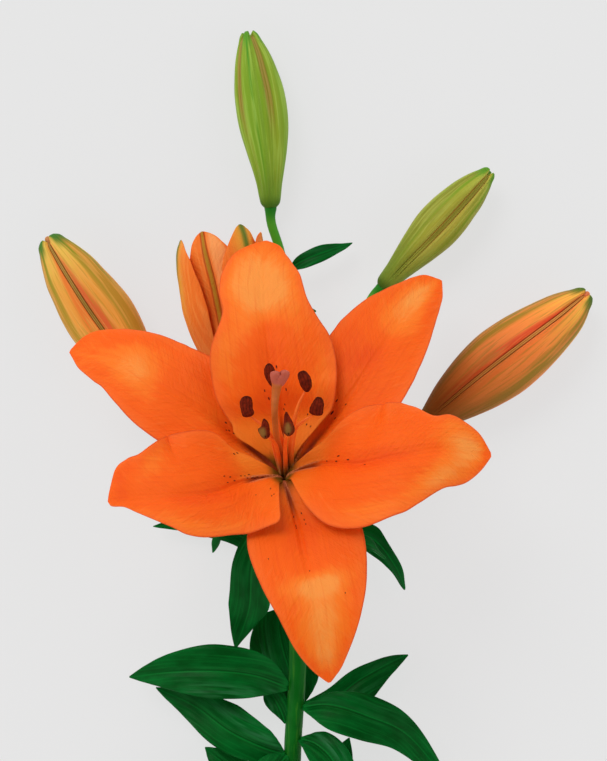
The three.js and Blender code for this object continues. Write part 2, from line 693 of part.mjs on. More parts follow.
// Below them more leaves spread to the two sides in turn, on two levels, down to the bare foot
// of the stem.
for (let k = 0; k < 8; k += 1) {
  const side = k % 2 ? 1 : -1;
  const raised = k % 4 < 2 ? 1 : 0;
  const foot = -195 - 7.5 * k;
  const length = 80 - 1.5 * k;
  const slope = 0.2 + 0.15 * Math.sin(2.3 * k);
  const at = (share, z) => [
    along(stemX, foot) + side * length * share,
    foot + slope * length * share,
    z,
  ];
  leaves.push({
    name: `leaf_low_${k + 1}`,
    foot,
    half: 9.5 - 0.2 * k,
    midrib: [
      at(0.25, 8 + 9 * raised),
      at(0.5, 7 + 10 * raised),
      at(0.76, 5 + 8 * raised),
      at(1, 3 + 4 * raised),
    ],
  });
}

const laid = new THREE.Group();
laid.position.set(...restCentre);
laid.add(named("stem", cutStem(), stemGreen, 0.55));

const bloom = bloomFrame(bloomSeat, bloomTilt, bloomHeading, bloomPetals, petalRows, petalColumns);
bloom.add(named("pistil", pistil(), pistilOrange));
for (const stamen of stamens) {
  bloom.add(named(`filament_${stamen.name}`, filament(stamen), filamentOrange));
  bloom.add(named(`anther_${stamen.name}`, anther(stamen.anther), antherBrown, 0.85));
}
laid.add(bloom);

const opening = bloomFrame(openingSeat, openingTilt, openingHeading, openingPetals, 10, openingColumns);
opening.add(named("opening_stamens", openingStamens(), filamentOrange));
laid.add(opening);

for (const shape of buds) laid.add(named(shape.name, bud(shape), shape.colour));
for (const shape of leaves) laid.add(named(shape.name, leaf(shape), leafGreen, 0.3));

const lily = new THREE.Group();
lily.add(laid);

export default lily;
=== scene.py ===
import math

import bpy
import numpy as np
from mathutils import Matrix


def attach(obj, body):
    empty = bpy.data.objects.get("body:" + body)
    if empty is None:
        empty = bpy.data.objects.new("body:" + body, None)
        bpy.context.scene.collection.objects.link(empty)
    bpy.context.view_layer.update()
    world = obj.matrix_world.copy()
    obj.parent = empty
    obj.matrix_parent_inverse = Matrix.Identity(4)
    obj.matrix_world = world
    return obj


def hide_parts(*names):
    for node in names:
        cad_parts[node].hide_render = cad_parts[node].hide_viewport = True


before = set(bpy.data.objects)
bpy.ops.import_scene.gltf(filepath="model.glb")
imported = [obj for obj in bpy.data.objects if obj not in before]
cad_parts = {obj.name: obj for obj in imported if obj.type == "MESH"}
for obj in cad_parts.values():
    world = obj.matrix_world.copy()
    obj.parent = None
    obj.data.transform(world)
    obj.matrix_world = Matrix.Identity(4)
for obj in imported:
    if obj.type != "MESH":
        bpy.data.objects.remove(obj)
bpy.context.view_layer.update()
print("frame loaded")

whole = {
    "restCentre": (-5.2, 92.0, 0.0),  # moves the lily so that the middle of its footprint is at the origin
    "stemRadius": 3.7,
    "receptacleRadius": 6.4,
    "cameraHeight": 1070.0,
    "cameraFocus": 2500.0,  # pixels of the picture for one metre of width at one metre
    "pictureHeight": 761,  # pixels
}
restCentre = np.array(whole["restCentre"])


# Curves and surfaces

# A smooth value through (station, value) pairs: cubic spans, each slope taken from the two neighbours.
def along(pairs, u):
    stations, values = np.array(pairs, float).T
    before = np.maximum(np.arange(len(stations)) - 1, 0)
    after = np.minimum(np.arange(len(stations)) + 1, len(stations) - 1)
    slopes = (values[after] - values[before]) / (stations[after] - stations[before])
    u = np.asarray(u, float)
    i = np.clip(np.searchsorted(stations, u) - 1, 0, len(stations) - 2)
    span = stations[i + 1] - stations[i]
    t = np.clip((u - stations[i]) / span, 0, 1)
    s, c = t * t, t * t * t
    return ((2 * c - 3 * s + 1) * values[i] + (c - 2 * s + t) * span * slopes[i]
            + (3 * s - 2 * c) * values[i + 1] + (c - s) * span * slopes[i + 1])


# Places and directions along a smooth curve through the points, u from 0 to 1 spread evenly over the spans.
def curveAt(points, u):
    p = np.array(points, float)
    p = np.vstack([2 * p[0] - p[1], p, 2 * p[-1] - p[-2]])
    s = np.clip(np.asarray(u, float), 0, 1) * (len(points) - 1)
    i = np.clip(np.floor(s).astype(int), 0, len(points) - 2)
    t = (s - i)[:, None]
    a, b, c, d = p[i], p[i + 1], p[i + 2], p[i + 3]
    v0, v1 = (c - a) / 2, (d - b) / 2
    place = (2 * b - 2 * c + v0 + v1) * t**3 + (3 * c - 3 * b - 2 * v0 - v1) * t**2 + v0 * t + b
    ahead = 3 * (2 * b - 2 * c + v0 + v1) * t**2 + 2 * (3 * c - 3 * b - 2 * v0 - v1) * t + v0
    return place, unit(ahead)


def unit(v):
    return v / np.maximum(np.linalg.norm(v, axis=-1, keepdims=True), 1e-9)


# A sum of seven sine waves in seeded directions, about -1 to 1, whose longest wave is 1 / pitch.
def ripple(x, y, pitch, seed):
    rng = np.random.default_rng(seed)
    total = np.zeros(np.broadcast(x, y).shape)
    for k in range(7):
        turn, phase = rng.uniform(0, 2 * math.pi, 2)
        rate = 2 * math.pi * pitch * (1 + 0.45 * k)
        total += np.sin(rate * (np.cos(turn) * x + np.sin(turn) * y) + phase) / (1 + 0.4 * k)
    return total / 3


def bump(x, middle, width):
    return np.exp(-(((x - middle) / width) ** 2))


def fade(x, low, high):
    t = np.clip((x - low) / (high - low), 0, 1)
    return t * t * (3 - 2 * t)


# Normals of a grid of points: the cross product of its two directions.
def gridNormals(grid):
    return unit(np.cross(np.gradient(grid, axis=0), np.gradient(grid, axis=1)))


# A mesh object from points in millimetres, quads and a few other faces, with a value per point for each
# named attribute, and a UV map that holds centimetres across and along.
def makePiece(name, points, quads, others, values, uv, replaced, slot, material):
    mesh = bpy.data.meshes.new(name)
    points = (points + restCentre) / 1000
    loops = np.concatenate([quads.ravel(), *others]).astype(np.int32)
    sizes = np.array([4] * len(quads) + [len(face) for face in others], np.int32)
    starts = np.concatenate([[0], np.cumsum(sizes)[:-1]]).astype(np.int32)
    mesh.vertices.add(len(points))
    mesh.vertices.foreach_set("co", points.astype(np.float32).ravel())
    mesh.loops.add(len(loops))
    mesh.loops.foreach_set("vertex_index", loops)
    mesh.polygons.add(len(sizes))
    mesh.polygons.foreach_set("loop_start", starts)
    mesh.polygons.foreach_set("use_smooth", np.ones(len(sizes), bool))
    mesh.update(calc_edges=True)
    mesh.validate()
    for key, value in values.items():
        data = mesh.attributes.new(key, "FLOAT", "POINT").data
        data.foreach_set("value", np.broadcast_to(value, len(points)).astype(np.float32).ravel())
    if uv is not None:
        layer = mesh.uv_layers.new(name="UVMap")
        layer.data.foreach_set("uv", (uv.reshape(-1, 2)[loops] / 10).astype(np.float32).ravel())
    mesh.materials.append(material)
    piece = bpy.data.objects.new(name, mesh)
    bpy.context.collection.objects.link(piece)
    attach(piece, "root")
    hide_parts(replaced)
    return piece


still = [(0, 0), (1, 0)]  # a value that stays 0


# Quads between neighbouring rows of a grid whose rows are closed loops.
def loopQuads(rows, count, first=0):
    r, k = np.meshgrid(np.arange(rows - 1), np.arange(count), indexing="ij")
    a, b = r * count + k, r * count + (k + 1) % count
    return (np.stack([a, a + count, b + count, b], -1).reshape(-1, 4) + first).astype(int)


# The middle sheet of a blade: at each station an arc of the given bend across the midrib, folded along the
# middle into a groove, with a wave that grows towards the margins as the cube of v. Where square is 0 the arcs
# keep the same direction however the midrib turns, so that a wide margin never folds over itself.
def bladeSheet(shape, u, v):
    place = curveAt(shape["midrib"], u)[0]
    # the direction is the mean of five near ones, so that no row shows where the midrib's bend changes
    near = (-0.05, -0.025, 0, 0.025, 0.05)
    ahead = unit(sum(curveAt(shape["midrib"], np.clip(u + step, 0, 1))[1] for step in near))
    lateral = np.array(shape.get("lateral", (0, 1, 0)), float)
    square = along(shape.get("square", [(0, 1), (1, 1)]), u)[:, None]
    across = unit(lateral - ahead * (ahead @ lateral)[:, None] * square)
    inward = unit(np.cross(ahead, across))

    def eachSide(left, right):
        return along(left, u)[:, None] * (v < 0)[None, :] + along(right, u)[:, None] * (v >= 0)[None, :]

    wave = eachSide(shape.get("leftWave", still), shape.get("rightWave", still))
    s = v[None, :] * eachSide(shape["left"], shape["right"])
    bend = along(shape["bend"], u)[:, None] + 1e-6
    groove = along(shape.get("groove", still), u)[:, None]
    lift = ((1 - np.cos(bend * s)) / bend + groove * (1 - np.exp(-((s / shape["grooveWidth"]) ** 2)))
            + wave * np.abs(v)[None, :] ** 3)
    sheet = (place[:, None] + across[:, None] * (np.sin(bend * s) / bend)[..., None]
             + inward[:, None] * lift[..., None])
    return sheet, s


# Stations along and across a blade: closer towards the tip, the midrib and the margins, v = t - 0.1 sin 2 pi t.
def bladeStations(rows, columns):
    body = int(rows * 0.8)
    u = np.concatenate([np.linspace(0, 0.955, body, endpoint=False),
                        1 - 0.045 * np.linspace(1, 0, rows - body) ** 1.8])
    t = np.linspace(-1, 1, columns)
    return u, t - 0.1 * np.sin(2 * math.pi * t)


# A closed blade: the sheet moved half its thickness each way, with round margins. formulas gives, from u, v and
# the millimetres across and along, the relief of both faces, the inner and the outer one, and the attributes.
def makeBlade(name, shape, size, place, formulas, replaced, slot, material, spots=()):
    rows, columns = size
    u, v = bladeStations(rows, columns)
    sheet, s = bladeSheet(shape, u, v)
    uu, vv = np.meshgrid(u, v, indexing="ij")
    ll = np.broadcast_to(pathLength(sheet[:, columns // 2])[:, None], s.shape)
    both, innerRelief, outerRelief, values = formulas(uu, vv, s, ll)
    sheet = sheet + gridNormals(sheet) * both[..., None]
    normals = gridNormals(sheet)
    half = along(shape["thickness"], u)[:, None] / 2 * (1 - 0.2 * vv**2)
    half = half * np.sqrt(np.maximum(1 - np.abs(vv) ** 10, 0)) * np.sqrt(1 - fade(uu, 0.985, 1.0) * 0.9)
    rim = 1 - np.abs(vv) ** 6
    inner = sheet + normals * (half + innerRelief * rim)[..., None]
    outer = sheet - normals * (half + outerRelief * rim)[..., None]

    def around(front, back):
        return np.concatenate([front, back[:, -2:0:-1]], axis=1)

    facts = {"lengthwise": around(uu, uu), "crosswise": around(vv, vv), "innerFace": around(1 + 0 * uu, 0 * uu)}
    facts.update((key, around(value + 0 * uu, value + 0 * uu)) for key, value in values.items())
    facts = {key: value.ravel() for key, value in facts.items()}
    uv = np.stack([around(s, s).ravel(), around(ll, ll).ravel()], -1)
    loop = 2 * columns - 2
    quads = loopQuads(rows, loop)
    others = []
    for first, flip in ((0, False), ((rows - 1) * loop, True)):
        for c in range(columns - 1):
            face = [c, c + 1, (loop - c - 1) % loop, (loop - c) % loop]
            face = [k for i, k in enumerate(face) if k not in face[:i]]
            others.append([first + k for k in (reversed(face) if flip else face)])
    points = place(around(inner, outer).reshape(-1, 3))
    if spots:
        addPoints, addQuads = spotDomes(spots, u, v, place(inner.reshape(-1, 3)).reshape(inner.shape))
        quads = np.vstack([quads, addQuads + len(points)])
        facts = {key: np.concatenate([value, np.zeros(len(addPoints))]) for key, value in facts.items()}
        facts["spot"] = np.concatenate([np.zeros(len(points)), np.ones(len(addPoints))])
        uv = np.concatenate([uv, np.zeros((len(addPoints), 2))])
        points = np.vstack([points, addPoints])
    return makePiece(name, points, quads, others, facts, uv, replaced, slot, material)


# Raised spots near a petal's foot: low oval domes set on its inner face, long way lengthwise. Each is given as
# (u, v, length in mm).
def spotDomes(spots, u, v, inner):
    normals = gridNormals(inner)
    rings, sides = 4, 10
    angles = evenAngles(sides)
    level = np.linspace(0.04, 1.0, rings)[:, None]
    reach = np.sin(level * math.pi / 2)
    height = 0.2 * np.cos(level * math.pi / 2) - 0.05
    allPoints, allQuads = [], []
    for n, (su, sv, size) in enumerate(spots):
        r = int(np.abs(u - su).argmin())
        c = int(np.abs(v - sv).argmin())
        centre, up = inner[r, c], normals[r, c]
        ahead = unit(inner[min(r + 1, len(u) - 1), c] - inner[r - 1, c])
        side = np.cross(up, ahead)
        grid = (centre + ahead * (np.cos(angles) * reach * size * 0.62)[..., None]
                + side * (np.sin(angles) * reach * (0.11 + size * 0.14))[..., None] + up * height[..., None])
        allPoints.append(grid.reshape(-1, 3))
        cap = np.array([[0, 1, 2, 3], [0, 3, 4, 9], [9, 4, 5, 8], [8, 5, 6, 7]]) + n * rings * sides
        allQuads += [loopQuads(rings, sides, n * rings * sides), cap]
    return np.vstack(allPoints), np.vstack(allQuads)


# A round body along a curve: radiusAt(u, angle) on a grid, angle 0 towards `facing`, with a point at each end.
def roundGrid(points, radiusAt, angles, stations, facing):
    place, ahead = curveAt(points, stations)
    facing = np.array(facing, float)
    first = unit(facing - ahead * (ahead @ facing)[:, None])
    second = np.cross(ahead, first)
    uu, aa = np.meshgrid(stations, angles, indexing="ij")
    radius = radiusAt(uu, aa)
    grid = (place[:, None] + first[:, None] * (np.cos(aa) * radius)[..., None]
            + second[:, None] * (np.sin(aa) * radius)[..., None])
    return grid, uu, aa


# Points, quads and end fans of several such bodies, each closed by a point in the middle of its end rings.
def closedBodies(grids):
    points, quads, fans, first = [], [], [], 0
    for grid in grids:
        rows, count = grid.shape[:2]
        points += [grid.reshape(-1, 3), grid[:1].mean(1), grid[-1:].mean(1)]
        quads.append(loopQuads(rows, count, first)[:, ::-1])
        foot, last = first + rows * count, first + (rows - 1) * count
        fans += [[foot, first + (i + 1) % count, first + i] for i in range(count)]
        fans += [[foot + 1, last + i, last + (i + 1) % count] for i in range(count)]
        first = foot + 2
    return np.vstack(points), np.vstack(quads), fans


# A piece of one or more round bodies; facts gives its attributes from u and the angle.
def makeRound(name, bodies, place, replaced, slot, material, facts):
    grids, tones = [], []
    for points, radiusAt, sides, stations, facing, *shift in bodies:
        grid, uu, aa = roundGrid(points, radiusAt, evenAngles(sides), stations, facing)
        grids.append(grid)
        tones.append({key: np.append((tone + 0 * uu).ravel(), (tone + 0 * uu)[[0, -1], 0])
                      for key, tone in facts(uu + sum(shift), aa).items()})
    values = {key: np.concatenate([part[key] for part in tones]) for key in tones[0]}
    points, quads, fans = closedBodies(grids)
    return makePiece(name, place(points), quads, fans, values, None, replaced, slot, material)


def evenAngles(count):
    return np.arange(count) * 2 * math.pi / count


# Stations from 0 to 1 that lie closer towards both ends.
def easedStations(count, first=0.0, last=1.0):
    return (1 - np.cos(np.linspace(first, last, count) * math.pi)) / 2


# The way travelled along a row of points up to each of them.
def pathLength(points):
    return np.concatenate([[0], np.cumsum(np.linalg.norm(np.diff(points, axis=0), axis=1))])


# Materials

def addNode(tree, kind, inputs=None, **settings):
    node = tree.nodes.new("ShaderNode" + kind)
    for key, value in settings.items():
        setattr(node, key, value)
    for key, value in (inputs or {}).items():
        if isinstance(value, bpy.types.NodeSocket):
            tree.links.new(value, node.inputs[key])
        else:
            node.inputs[key].default_value = value
    return node


def mixColours(tree, amount, first, second):
    colours = [(*c, 1) if isinstance(c, tuple) else c for c in (first, second)]
    return addNode(tree, "Mix", {0: amount, 6: colours[0], 7: colours[1]}, data_type="RGBA").outputs[2]


# A colour with others laid over it in turn, each given as (amount, name of the colour in finish).
def layered(tree, finish, colour, *layers):
    for amount, key in layers:
        colour = mixColours(tree, amount, colour, finish[key])
    return colour


def calc(tree, operation, a, b=0.0, c=0.0):
    return addNode(tree, "Math", {0: a, 1: b, 2: c}, operation=operation).outputs[0]


def times(tree, a, b):
    return calc(tree, "MULTIPLY", a, b)


def timesPlus(tree, a, b, c):
    return calc(tree, "MULTIPLY_ADD", a, b, c)


def distance(tree, a, b):
    return calc(tree, "ABSOLUTE", calc(tree, "SUBTRACT", a, b))


def attribute(tree, name):
    return addNode(tree, "Attribute", attribute_name=name).outputs["Fac"]


# A value spread from low..high to toLow..toHigh, with soft ends.
def spread(tree, value, low, high, toLow=0.0, toHigh=1.0):
    return addNode(tree, "MapRange", {0: value, 1: low, 2: high, 3: toLow, 4: toHigh},
                   interpolation_type="SMOOTHSTEP").outputs[0]


def measure(tree, name, low=0.0, high=1.0):
    return spread(tree, attribute(tree, name), low, high)


def ownUv(tree):
    return addNode(tree, "UVMap", uv_map="UVMap").outputs[0]


def mapped(tree, vector, turn, stretch):
    turned = addNode(tree, "Mapping", {0: vector, 2: (0.0, 0.0, turn)}).outputs[0] if turn else vector
    return addNode(tree, "Mapping", {0: turned, 3: (1.0, stretch, 1.0)}).outputs[0]


def noise(tree, vector, scale, detail=3.0, roughness=0.55, distortion=0.0):
    return addNode(tree, "TexNoise", {"Vector": vector, "Scale": scale, "Detail": detail, "Roughness": roughness,
                                      "Distortion": distortion}).outputs["Fac"]


# Noise on the piece's own UV map, which is in centimetres across and along: stretch squeezes it lengthwise.
def uvNoise(tree, scale, stretch=1.0, *settings):
    return noise(tree, mapped(tree, ownUv(tree), 0, stretch), scale, *settings)


# Fine creases that run obliquely from the midrib towards the margins, mirrored from side to side.
def obliqueNoise(tree, scale, stretch, degrees):
    parts = addNode(tree, "SeparateXYZ", {0: ownUv(tree)})
    folded = addNode(tree, "CombineXYZ", {0: calc(tree, "ABSOLUTE", parts.outputs[0]), 1: parts.outputs[1]})
    return noise(tree, mapped(tree, folded.outputs[0], math.radians(degrees), stretch), scale, 2.0, 0.5, 0.6)


def objectNoise(tree, scale, *settings):
    return noise(tree, addNode(tree, "TexCoord").outputs["Object"], scale, *settings)


def newMaterial(name, **sockets):
    material = bpy.data.materials.new(name)
    material.use_nodes = True
    tree = material.node_tree
    shader = tree.nodes["Principled BSDF"]
    for key, value in sockets.items():
        shader.inputs[key.replace("_", " ")].default_value = value
    return material, tree, shader


# Links the colour, the roughness and a bump of the given height, strength and distance to the shader.
def dress(tree, shader, colour, roughness, height, strength, distance):
    tree.links.new(colour, shader.inputs["Base Color"])
    tree.links.new(roughness, shader.inputs["Roughness"])
    node = addNode(tree, "Bump", {"Height": height, "Strength": strength, "Distance": distance})
    tree.links.new(node.outputs[0], shader.inputs["Normal"])


petalFinish = {
    "deep": (0.82, 0.068, 0.004),
    "middle": (0.92, 0.116, 0.005),
    "light": (0.94, 0.185, 0.014),
    # paler orange of the pale patches, which are partly the petal's own tone and partly painted highlights
    "pale": (0.92, 0.290, 0.050),
    # pinkish orange: the margins' own tint, and the colour of painted highlights on the fine creases
    "marginTintAndHighlight": (0.92, 0.150, 0.020),
    "vein": (0.80, 0.075, 0.004),
    "claw": (0.82, 0.205, 0.013),
    # dark olive-brown of the throat with painted shade in it
    "throatToneAndShade": (0.155, 0.068, 0.004),
    # dark maroon of the foot's furrow: partly its own colour, partly painted shade in the groove
    "furrow": (0.26, 0.032, 0.006),
    # darker red of a painted shadow line along every margin
    "rim": (0.60, 0.050, 0.010),
    "crest": (0.70, 0.20, 0.075),
    "back": (0.86, 0.170, 0.018),
    "backFlank": (0.92, 0.270, 0.050),
    "backPale": (0.93, 0.320, 0.090),
    "backGold": (0.78, 0.340, 0.036),
    "backGreen": (0.110, 0.170, 0.018),
    "backRib": (0.42, 0.190, 0.014),
    "backFoot": (0.34, 0.090, 0.016),
    "keelEdge": (0.40, 0.050, 0.005),
    "spot": (0.070, 0.003, 0.003),
}


# The pale patch attribute runs from -1, a deep flame, over 0 and a light orange at 0.5 to pale orange at 1; pale
# patches are partly own paler tone, partly painted highlights.
def petalMaterial(finish):
    material, tree, shader = newMaterial("petalSkin", Roughness=0.5, Specular_IOR_Level=0.1, Subsurface_Scale=0.5,
                                         Subsurface_Weight=0.08, Subsurface_Radius=(0.004, 0.0012, 0.0004))
    crosswise = calc(tree, "ABSOLUTE", attribute(tree, "crosswise"))
    cloud = uvNoise(tree, 1.0, 0.7, 4.0)
    streaks = uvNoise(tree, 5.0, 0.10, 2.0, 0.5, 0.3)
    creases = obliqueNoise(tree, 9.0, 0.16, 38.0)
    veins = uvNoise(tree, 10.0, 0.05, 2.0, 0.5, 0.4)
    grain = uvNoise(tree, 30.0, 0.6, 2.0)
    amount = timesPlus(tree, cloud, 0.7, attribute(tree, "palenessAndHighlight"))
    amount = timesPlus(tree, streaks, 0.45, amount)
    amount = timesPlus(tree, calc(tree, "SUBTRACT", creases, 0.5), 0.5, amount)
    amount = calc(tree, "SUBTRACT", amount, 0.575)
    # painted highlights: light strokes on the fine creases, stronger towards the margins
    creaseHighlights = times(tree, spread(tree, creases, 0.56, 0.72), spread(tree, crosswise, 0.25, 0.8))
    crest = measure(tree, "crest")
    inside = layered(
        tree, finish, finish["deep"],
        (spread(tree, amount, -1.0, 0.0), "middle"),
        (spread(tree, amount, 0.0, 0.6), "light"),
        # pale orange where the pale patches lie: partly own tone, partly painted highlight
        (spread(tree, amount, 0.5, 1.15), "pale"),
        (spread(tree, veins, 0.52, 0.72, 0.0, 0.25), "vein"),
        # painted highlights along the creases, then the margins' paler tint, which is partly painted highlight too
        (times(tree, creaseHighlights, 0.5), "marginTintAndHighlight"),
        (spread(tree, crosswise, 0.72, 1.0, 0.0, 0.6), "marginTintAndHighlight"),
        # painted shadow: a thin darker line along every margin
        (spread(tree, crosswise, 0.955, 0.995, 0.0, 0.55), "rim"),
        (times(tree, measure(tree, "claw"), 0.7), "claw"),
        # painted shade deep in the throat, over its dark olive-brown
        (measure(tree, "throatToneAndShade"), "throatToneAndShade"),
        # dark line in the furrow: partly its own colour, partly painted shade in the groove
        (measure(tree, "furrow"), "furrow"),
        (times(tree, crest, spread(tree, uvNoise(tree, 14.0), 0.35, 0.6, 0.35, 1.0)), "crest"),
    )
    outside = layered(
        tree, finish, finish["back"],
        (times(tree, spread(tree, streaks, 0.42, 0.66), 0.6), "backFlank"),
        (measure(tree, "flush"), "backPale"),
        (measure(tree, "golden"), "backGold"),
        (spread(tree, attribute(tree, "lengthwise"), 0.12, 0.62, 0.8, 0.0), "backFoot"),
        (measure(tree, "keelEdge"), "keelEdge"),
        (measure(tree, "backRib"), "backRib"),
        (measure(tree, "greenRib"), "backGreen"),
    )
    colour = mixColours(tree, measure(tree, "innerFace", 0.3, 0.7), outside, inside)
    colour = mixColours(tree, measure(tree, "spot", 0.3, 0.7), colour, finish["spot"])
    pores = addNode(tree, "TexVoronoi", {"Vector": ownUv(tree), "Scale": 13.0}).outputs["Distance"]
    height = timesPlus(tree, creases, 0.9, times(tree, veins, 0.5))
    height = timesPlus(tree, grain, 0.25, height)
    height = timesPlus(tree, times(tree, crest, pores), -2.5, height)
    dress(tree, shader, colour, spread(tree, grain, 0.3, 0.8, 0.42, 0.6), height, 0.6, 0.0008)
    return material


leafFinish = {
    "dark": (0.0004, 0.062, 0.0065),
    "light": (0.0010, 0.118, 0.0160),
    "rib": (0.004, 0.190, 0.026),
    # whitish green of a painted sheen, a painted highlight
    "bloomy": (0.045, 0.230, 0.090),
    "back": (0.010, 0.180, 0.030),
}


def leafMaterial(finish):
    material, tree, shader = newMaterial("leafSkin", Roughness=0.35, Specular_IOR_Level=0.05)
    veins = uvNoise(tree, 9.0, 0.025, 2.0, 0.5, 0.2)
    speckle = uvNoise(tree, 30.0, 0.6, 2.0)
    # painted sheen: whitish streaks of painted highlight where the attribute is set
    sheen = times(tree, measure(tree, "bloomy"), spread(tree, uvNoise(tree, 4.0, 0.12, 2.0), 0.4, 0.62))
    above = layered(
        tree, finish, finish["dark"],
        (spread(tree, uvNoise(tree, 1.2, 0.4), 0.34, 0.66), "light"),
        (spread(tree, veins, 0.5, 0.66, 0.0, 0.35), "rib"),
        # painted shade in the groove beside the midrib
        (measure(tree, "crease"), "dark"),
        (sheen, "bloomy"),
        (times(tree, measure(tree, "midrib"), 0.75), "rib"),
    )
    below = mixColours(tree, spread(tree, veins, 0.45, 0.7, 0.0, 0.5), finish["back"], finish["light"])
    colour = mixColours(tree, measure(tree, "innerFace", 0.3, 0.7), below, above)
    dress(tree, shader, colour, spread(tree, speckle, 0.3, 0.75, 0.28, 0.48),
          timesPlus(tree, speckle, 0.3, veins), 0.4, 0.0004)
    return material


stemFinish = {
    "old": (0.0010, 0.110, 0.006),
    "young": (0.075, 0.300, 0.016),
    "collar": (0.006, 0.180, 0.010),
    "streak": (0.004, 0.190, 0.010),
    "cut": (0.42, 0.52, 0.22),
    "scar": (0.16, 0.15, 0.05),
}


def stemMaterial(finish):
    material, tree, shader = newMaterial("stemSkin", Roughness=0.42, Specular_IOR_Level=0.12)
    where = addNode(tree, "TexCoord").outputs["Object"]
    streaks = noise(tree, mapped(tree, where, 0, 0.05), 900.0, 2.0, 0.5)
    cloud = objectNoise(tree, 90.0)
    pith = spread(tree, objectNoise(tree, 1500.0), 0.35, 0.65)
    skin = layered(
        tree, finish, finish["old"],
        (measure(tree, "young"), "young"),
        (spread(tree, cloud, 0.35, 0.7, 0.0, 0.35), "streak"),
        (spread(tree, streaks, 0.5, 0.7, 0.0, 0.3), "young"),
        (measure(tree, "collar"), "collar"),
        (measure(tree, "scar"), "scar"),
    )
    cut = mixColours(tree, pith, finish["cut"], finish["young"])
    colour = mixColours(tree, measure(tree, "cutFace", 0.3, 0.7), skin, cut)
    dress(tree, shader, colour, spread(tree, cloud, 0.3, 0.7, 0.35, 0.52), streaks, 0.35, 0.0004)
    return material


# A bud's skin: the keel strip between two sepals, a near and a far flank, a band along each sepal's middle
# (turned 60), and the rim beyond it. stripShare is 1 at the strip's edge, turned is in degrees from the strip.
def budMaterial(name, finish):
    material, tree, shader = newMaterial(name, Roughness=0.45, Specular_IOR_Level=0.07, Subsurface_Scale=0.5,
                                         Subsurface_Weight=0.06, Subsurface_Radius=(0.003, 0.002, 0.0006))
    lengthwise = attribute(tree, "lengthwise")
    share = attribute(tree, "stripShare")
    veins = uvNoise(tree, 8.0, 0.045, 2.0, 0.5, 0.3)
    dark = uvNoise(tree, 11.0, 0.04, 2.0, 0.5, 0.3)
    grain = uvNoise(tree, 30.0, 0.5, 2.0)
    wander = timesPlus(tree, uvNoise(tree, 2.6, 0.12, 3.0), 12.0, -6.0)
    turned = calc(tree, "ADD", attribute(tree, "turned"), wander)
    narrowing = spread(tree, lengthwise, 0.1, 0.95, finish["nearFoot"], finish["nearTip"])
    near = mixColours(tree, measure(tree, "rightSide", 0.4, 0.6), finish["near"], finish["nearRight"])
    far = mixColours(tree, spread(tree, lengthwise, 0.5, 0.92), finish["far"], finish["cheek"])
    flank = mixColours(tree, spread(tree, calc(tree, "SUBTRACT", turned, narrowing), -6.0, 6.0), near, far)
    band = times(tree, spread(tree, distance(tree, turned, finish["bandAt"]), 2.0, 9.0, 1.0, 0.0),
                 spread(tree, lengthwise, 0.35, 0.95, 0.45, 1.0))
    foot = spread(tree, timesPlus(tree, wander, 0.010, lengthwise), -0.02, finish["footEnd"], 1.0, 0.0)
    tip = times(tree, spread(tree, lengthwise, finish["tipFrom"], 0.99), spread(tree, turned, 16.0, 34.0))
    risen = spread(tree, lengthwise, finish["stripFrom"], finish["stripFrom"] + 0.3)
    strip = times(tree, spread(tree, share, 0.8, 1.1, 1.0, 0.0), risen)
    seam = times(tree, spread(tree, distance(tree, share, 1.12), 0.05, 0.42, 1.0, 0.0), risen)
    colour = layered(
        tree, finish, flank,
        (spread(tree, turned, 34.0, 54.0), "rim"),
        (band, "band"),
        (spread(tree, veins, 0.46, 0.62, 0.0, 0.5), "vein"),
        (spread(tree, dark, 0.5, 0.64, 0.0, 0.5), "rim"),
        (foot, "foot"),
        (spread(tree, lengthwise, 0.0, 0.07, 0.8, 0.0), "collar"),
        (tip, "tip"),
    )
    stripColour = layered(
        tree, finish, finish["strip"],
        (spread(tree, veins, 0.4, 0.62, 0.0, 0.5), "stripLight"),
        (spread(tree, distance(tree, share, 0.5), 0.08, 0.3, 0.75, 0.0), "stripLight"),
        (spread(tree, share, 0.03, 0.22, 0.5, 0.0), "seam"),
        (foot, "foot"),
    )
    colour = mixColours(tree, times(tree, strip, finish["stripAmount"]), colour, stripColour)
    colour = layered(tree, finish, colour, (times(tree, seam, finish["seamAmount"]), "seam"),
                     (measure(tree, "nub", 0.3, 0.7), "nub"))
    dress(tree, shader, colour, spread(tree, grain, 0.3, 0.75, 0.38, 0.55),
          timesPlus(tree, grain, 0.3, veins), 0.6, 0.0005)
    return material


# Plain tissue: two tones in clouds, with the tones that finish has for the foot, the tip, patches and pits.
def tissueMaterial(name, finish):
    roughness = finish["roughness"]
    material, tree, shader = newMaterial(name, Roughness=roughness, Specular_IOR_Level=finish["gloss"])
    cloud = objectNoise(tree, finish["scale"])
    fine = objectNoise(tree, finish["scale"] * 5)
    colour = layered(tree, finish, finish["first"], (spread(tree, cloud, 0.3, 0.7), "second"),
                     (spread(tree, fine, 0.52, 0.75, 0.0, 0.5), "second"),
                     *((measure(tree, tone), tone) for tone in ("foot", "tip", "patch", "pit") if tone in finish))
    dress(tree, shader, colour, spread(tree, fine, 0.3, 0.7, roughness * 0.85, min(roughness * 1.15, 1)),
          fine, finish["bump"], 0.0004)
    return material


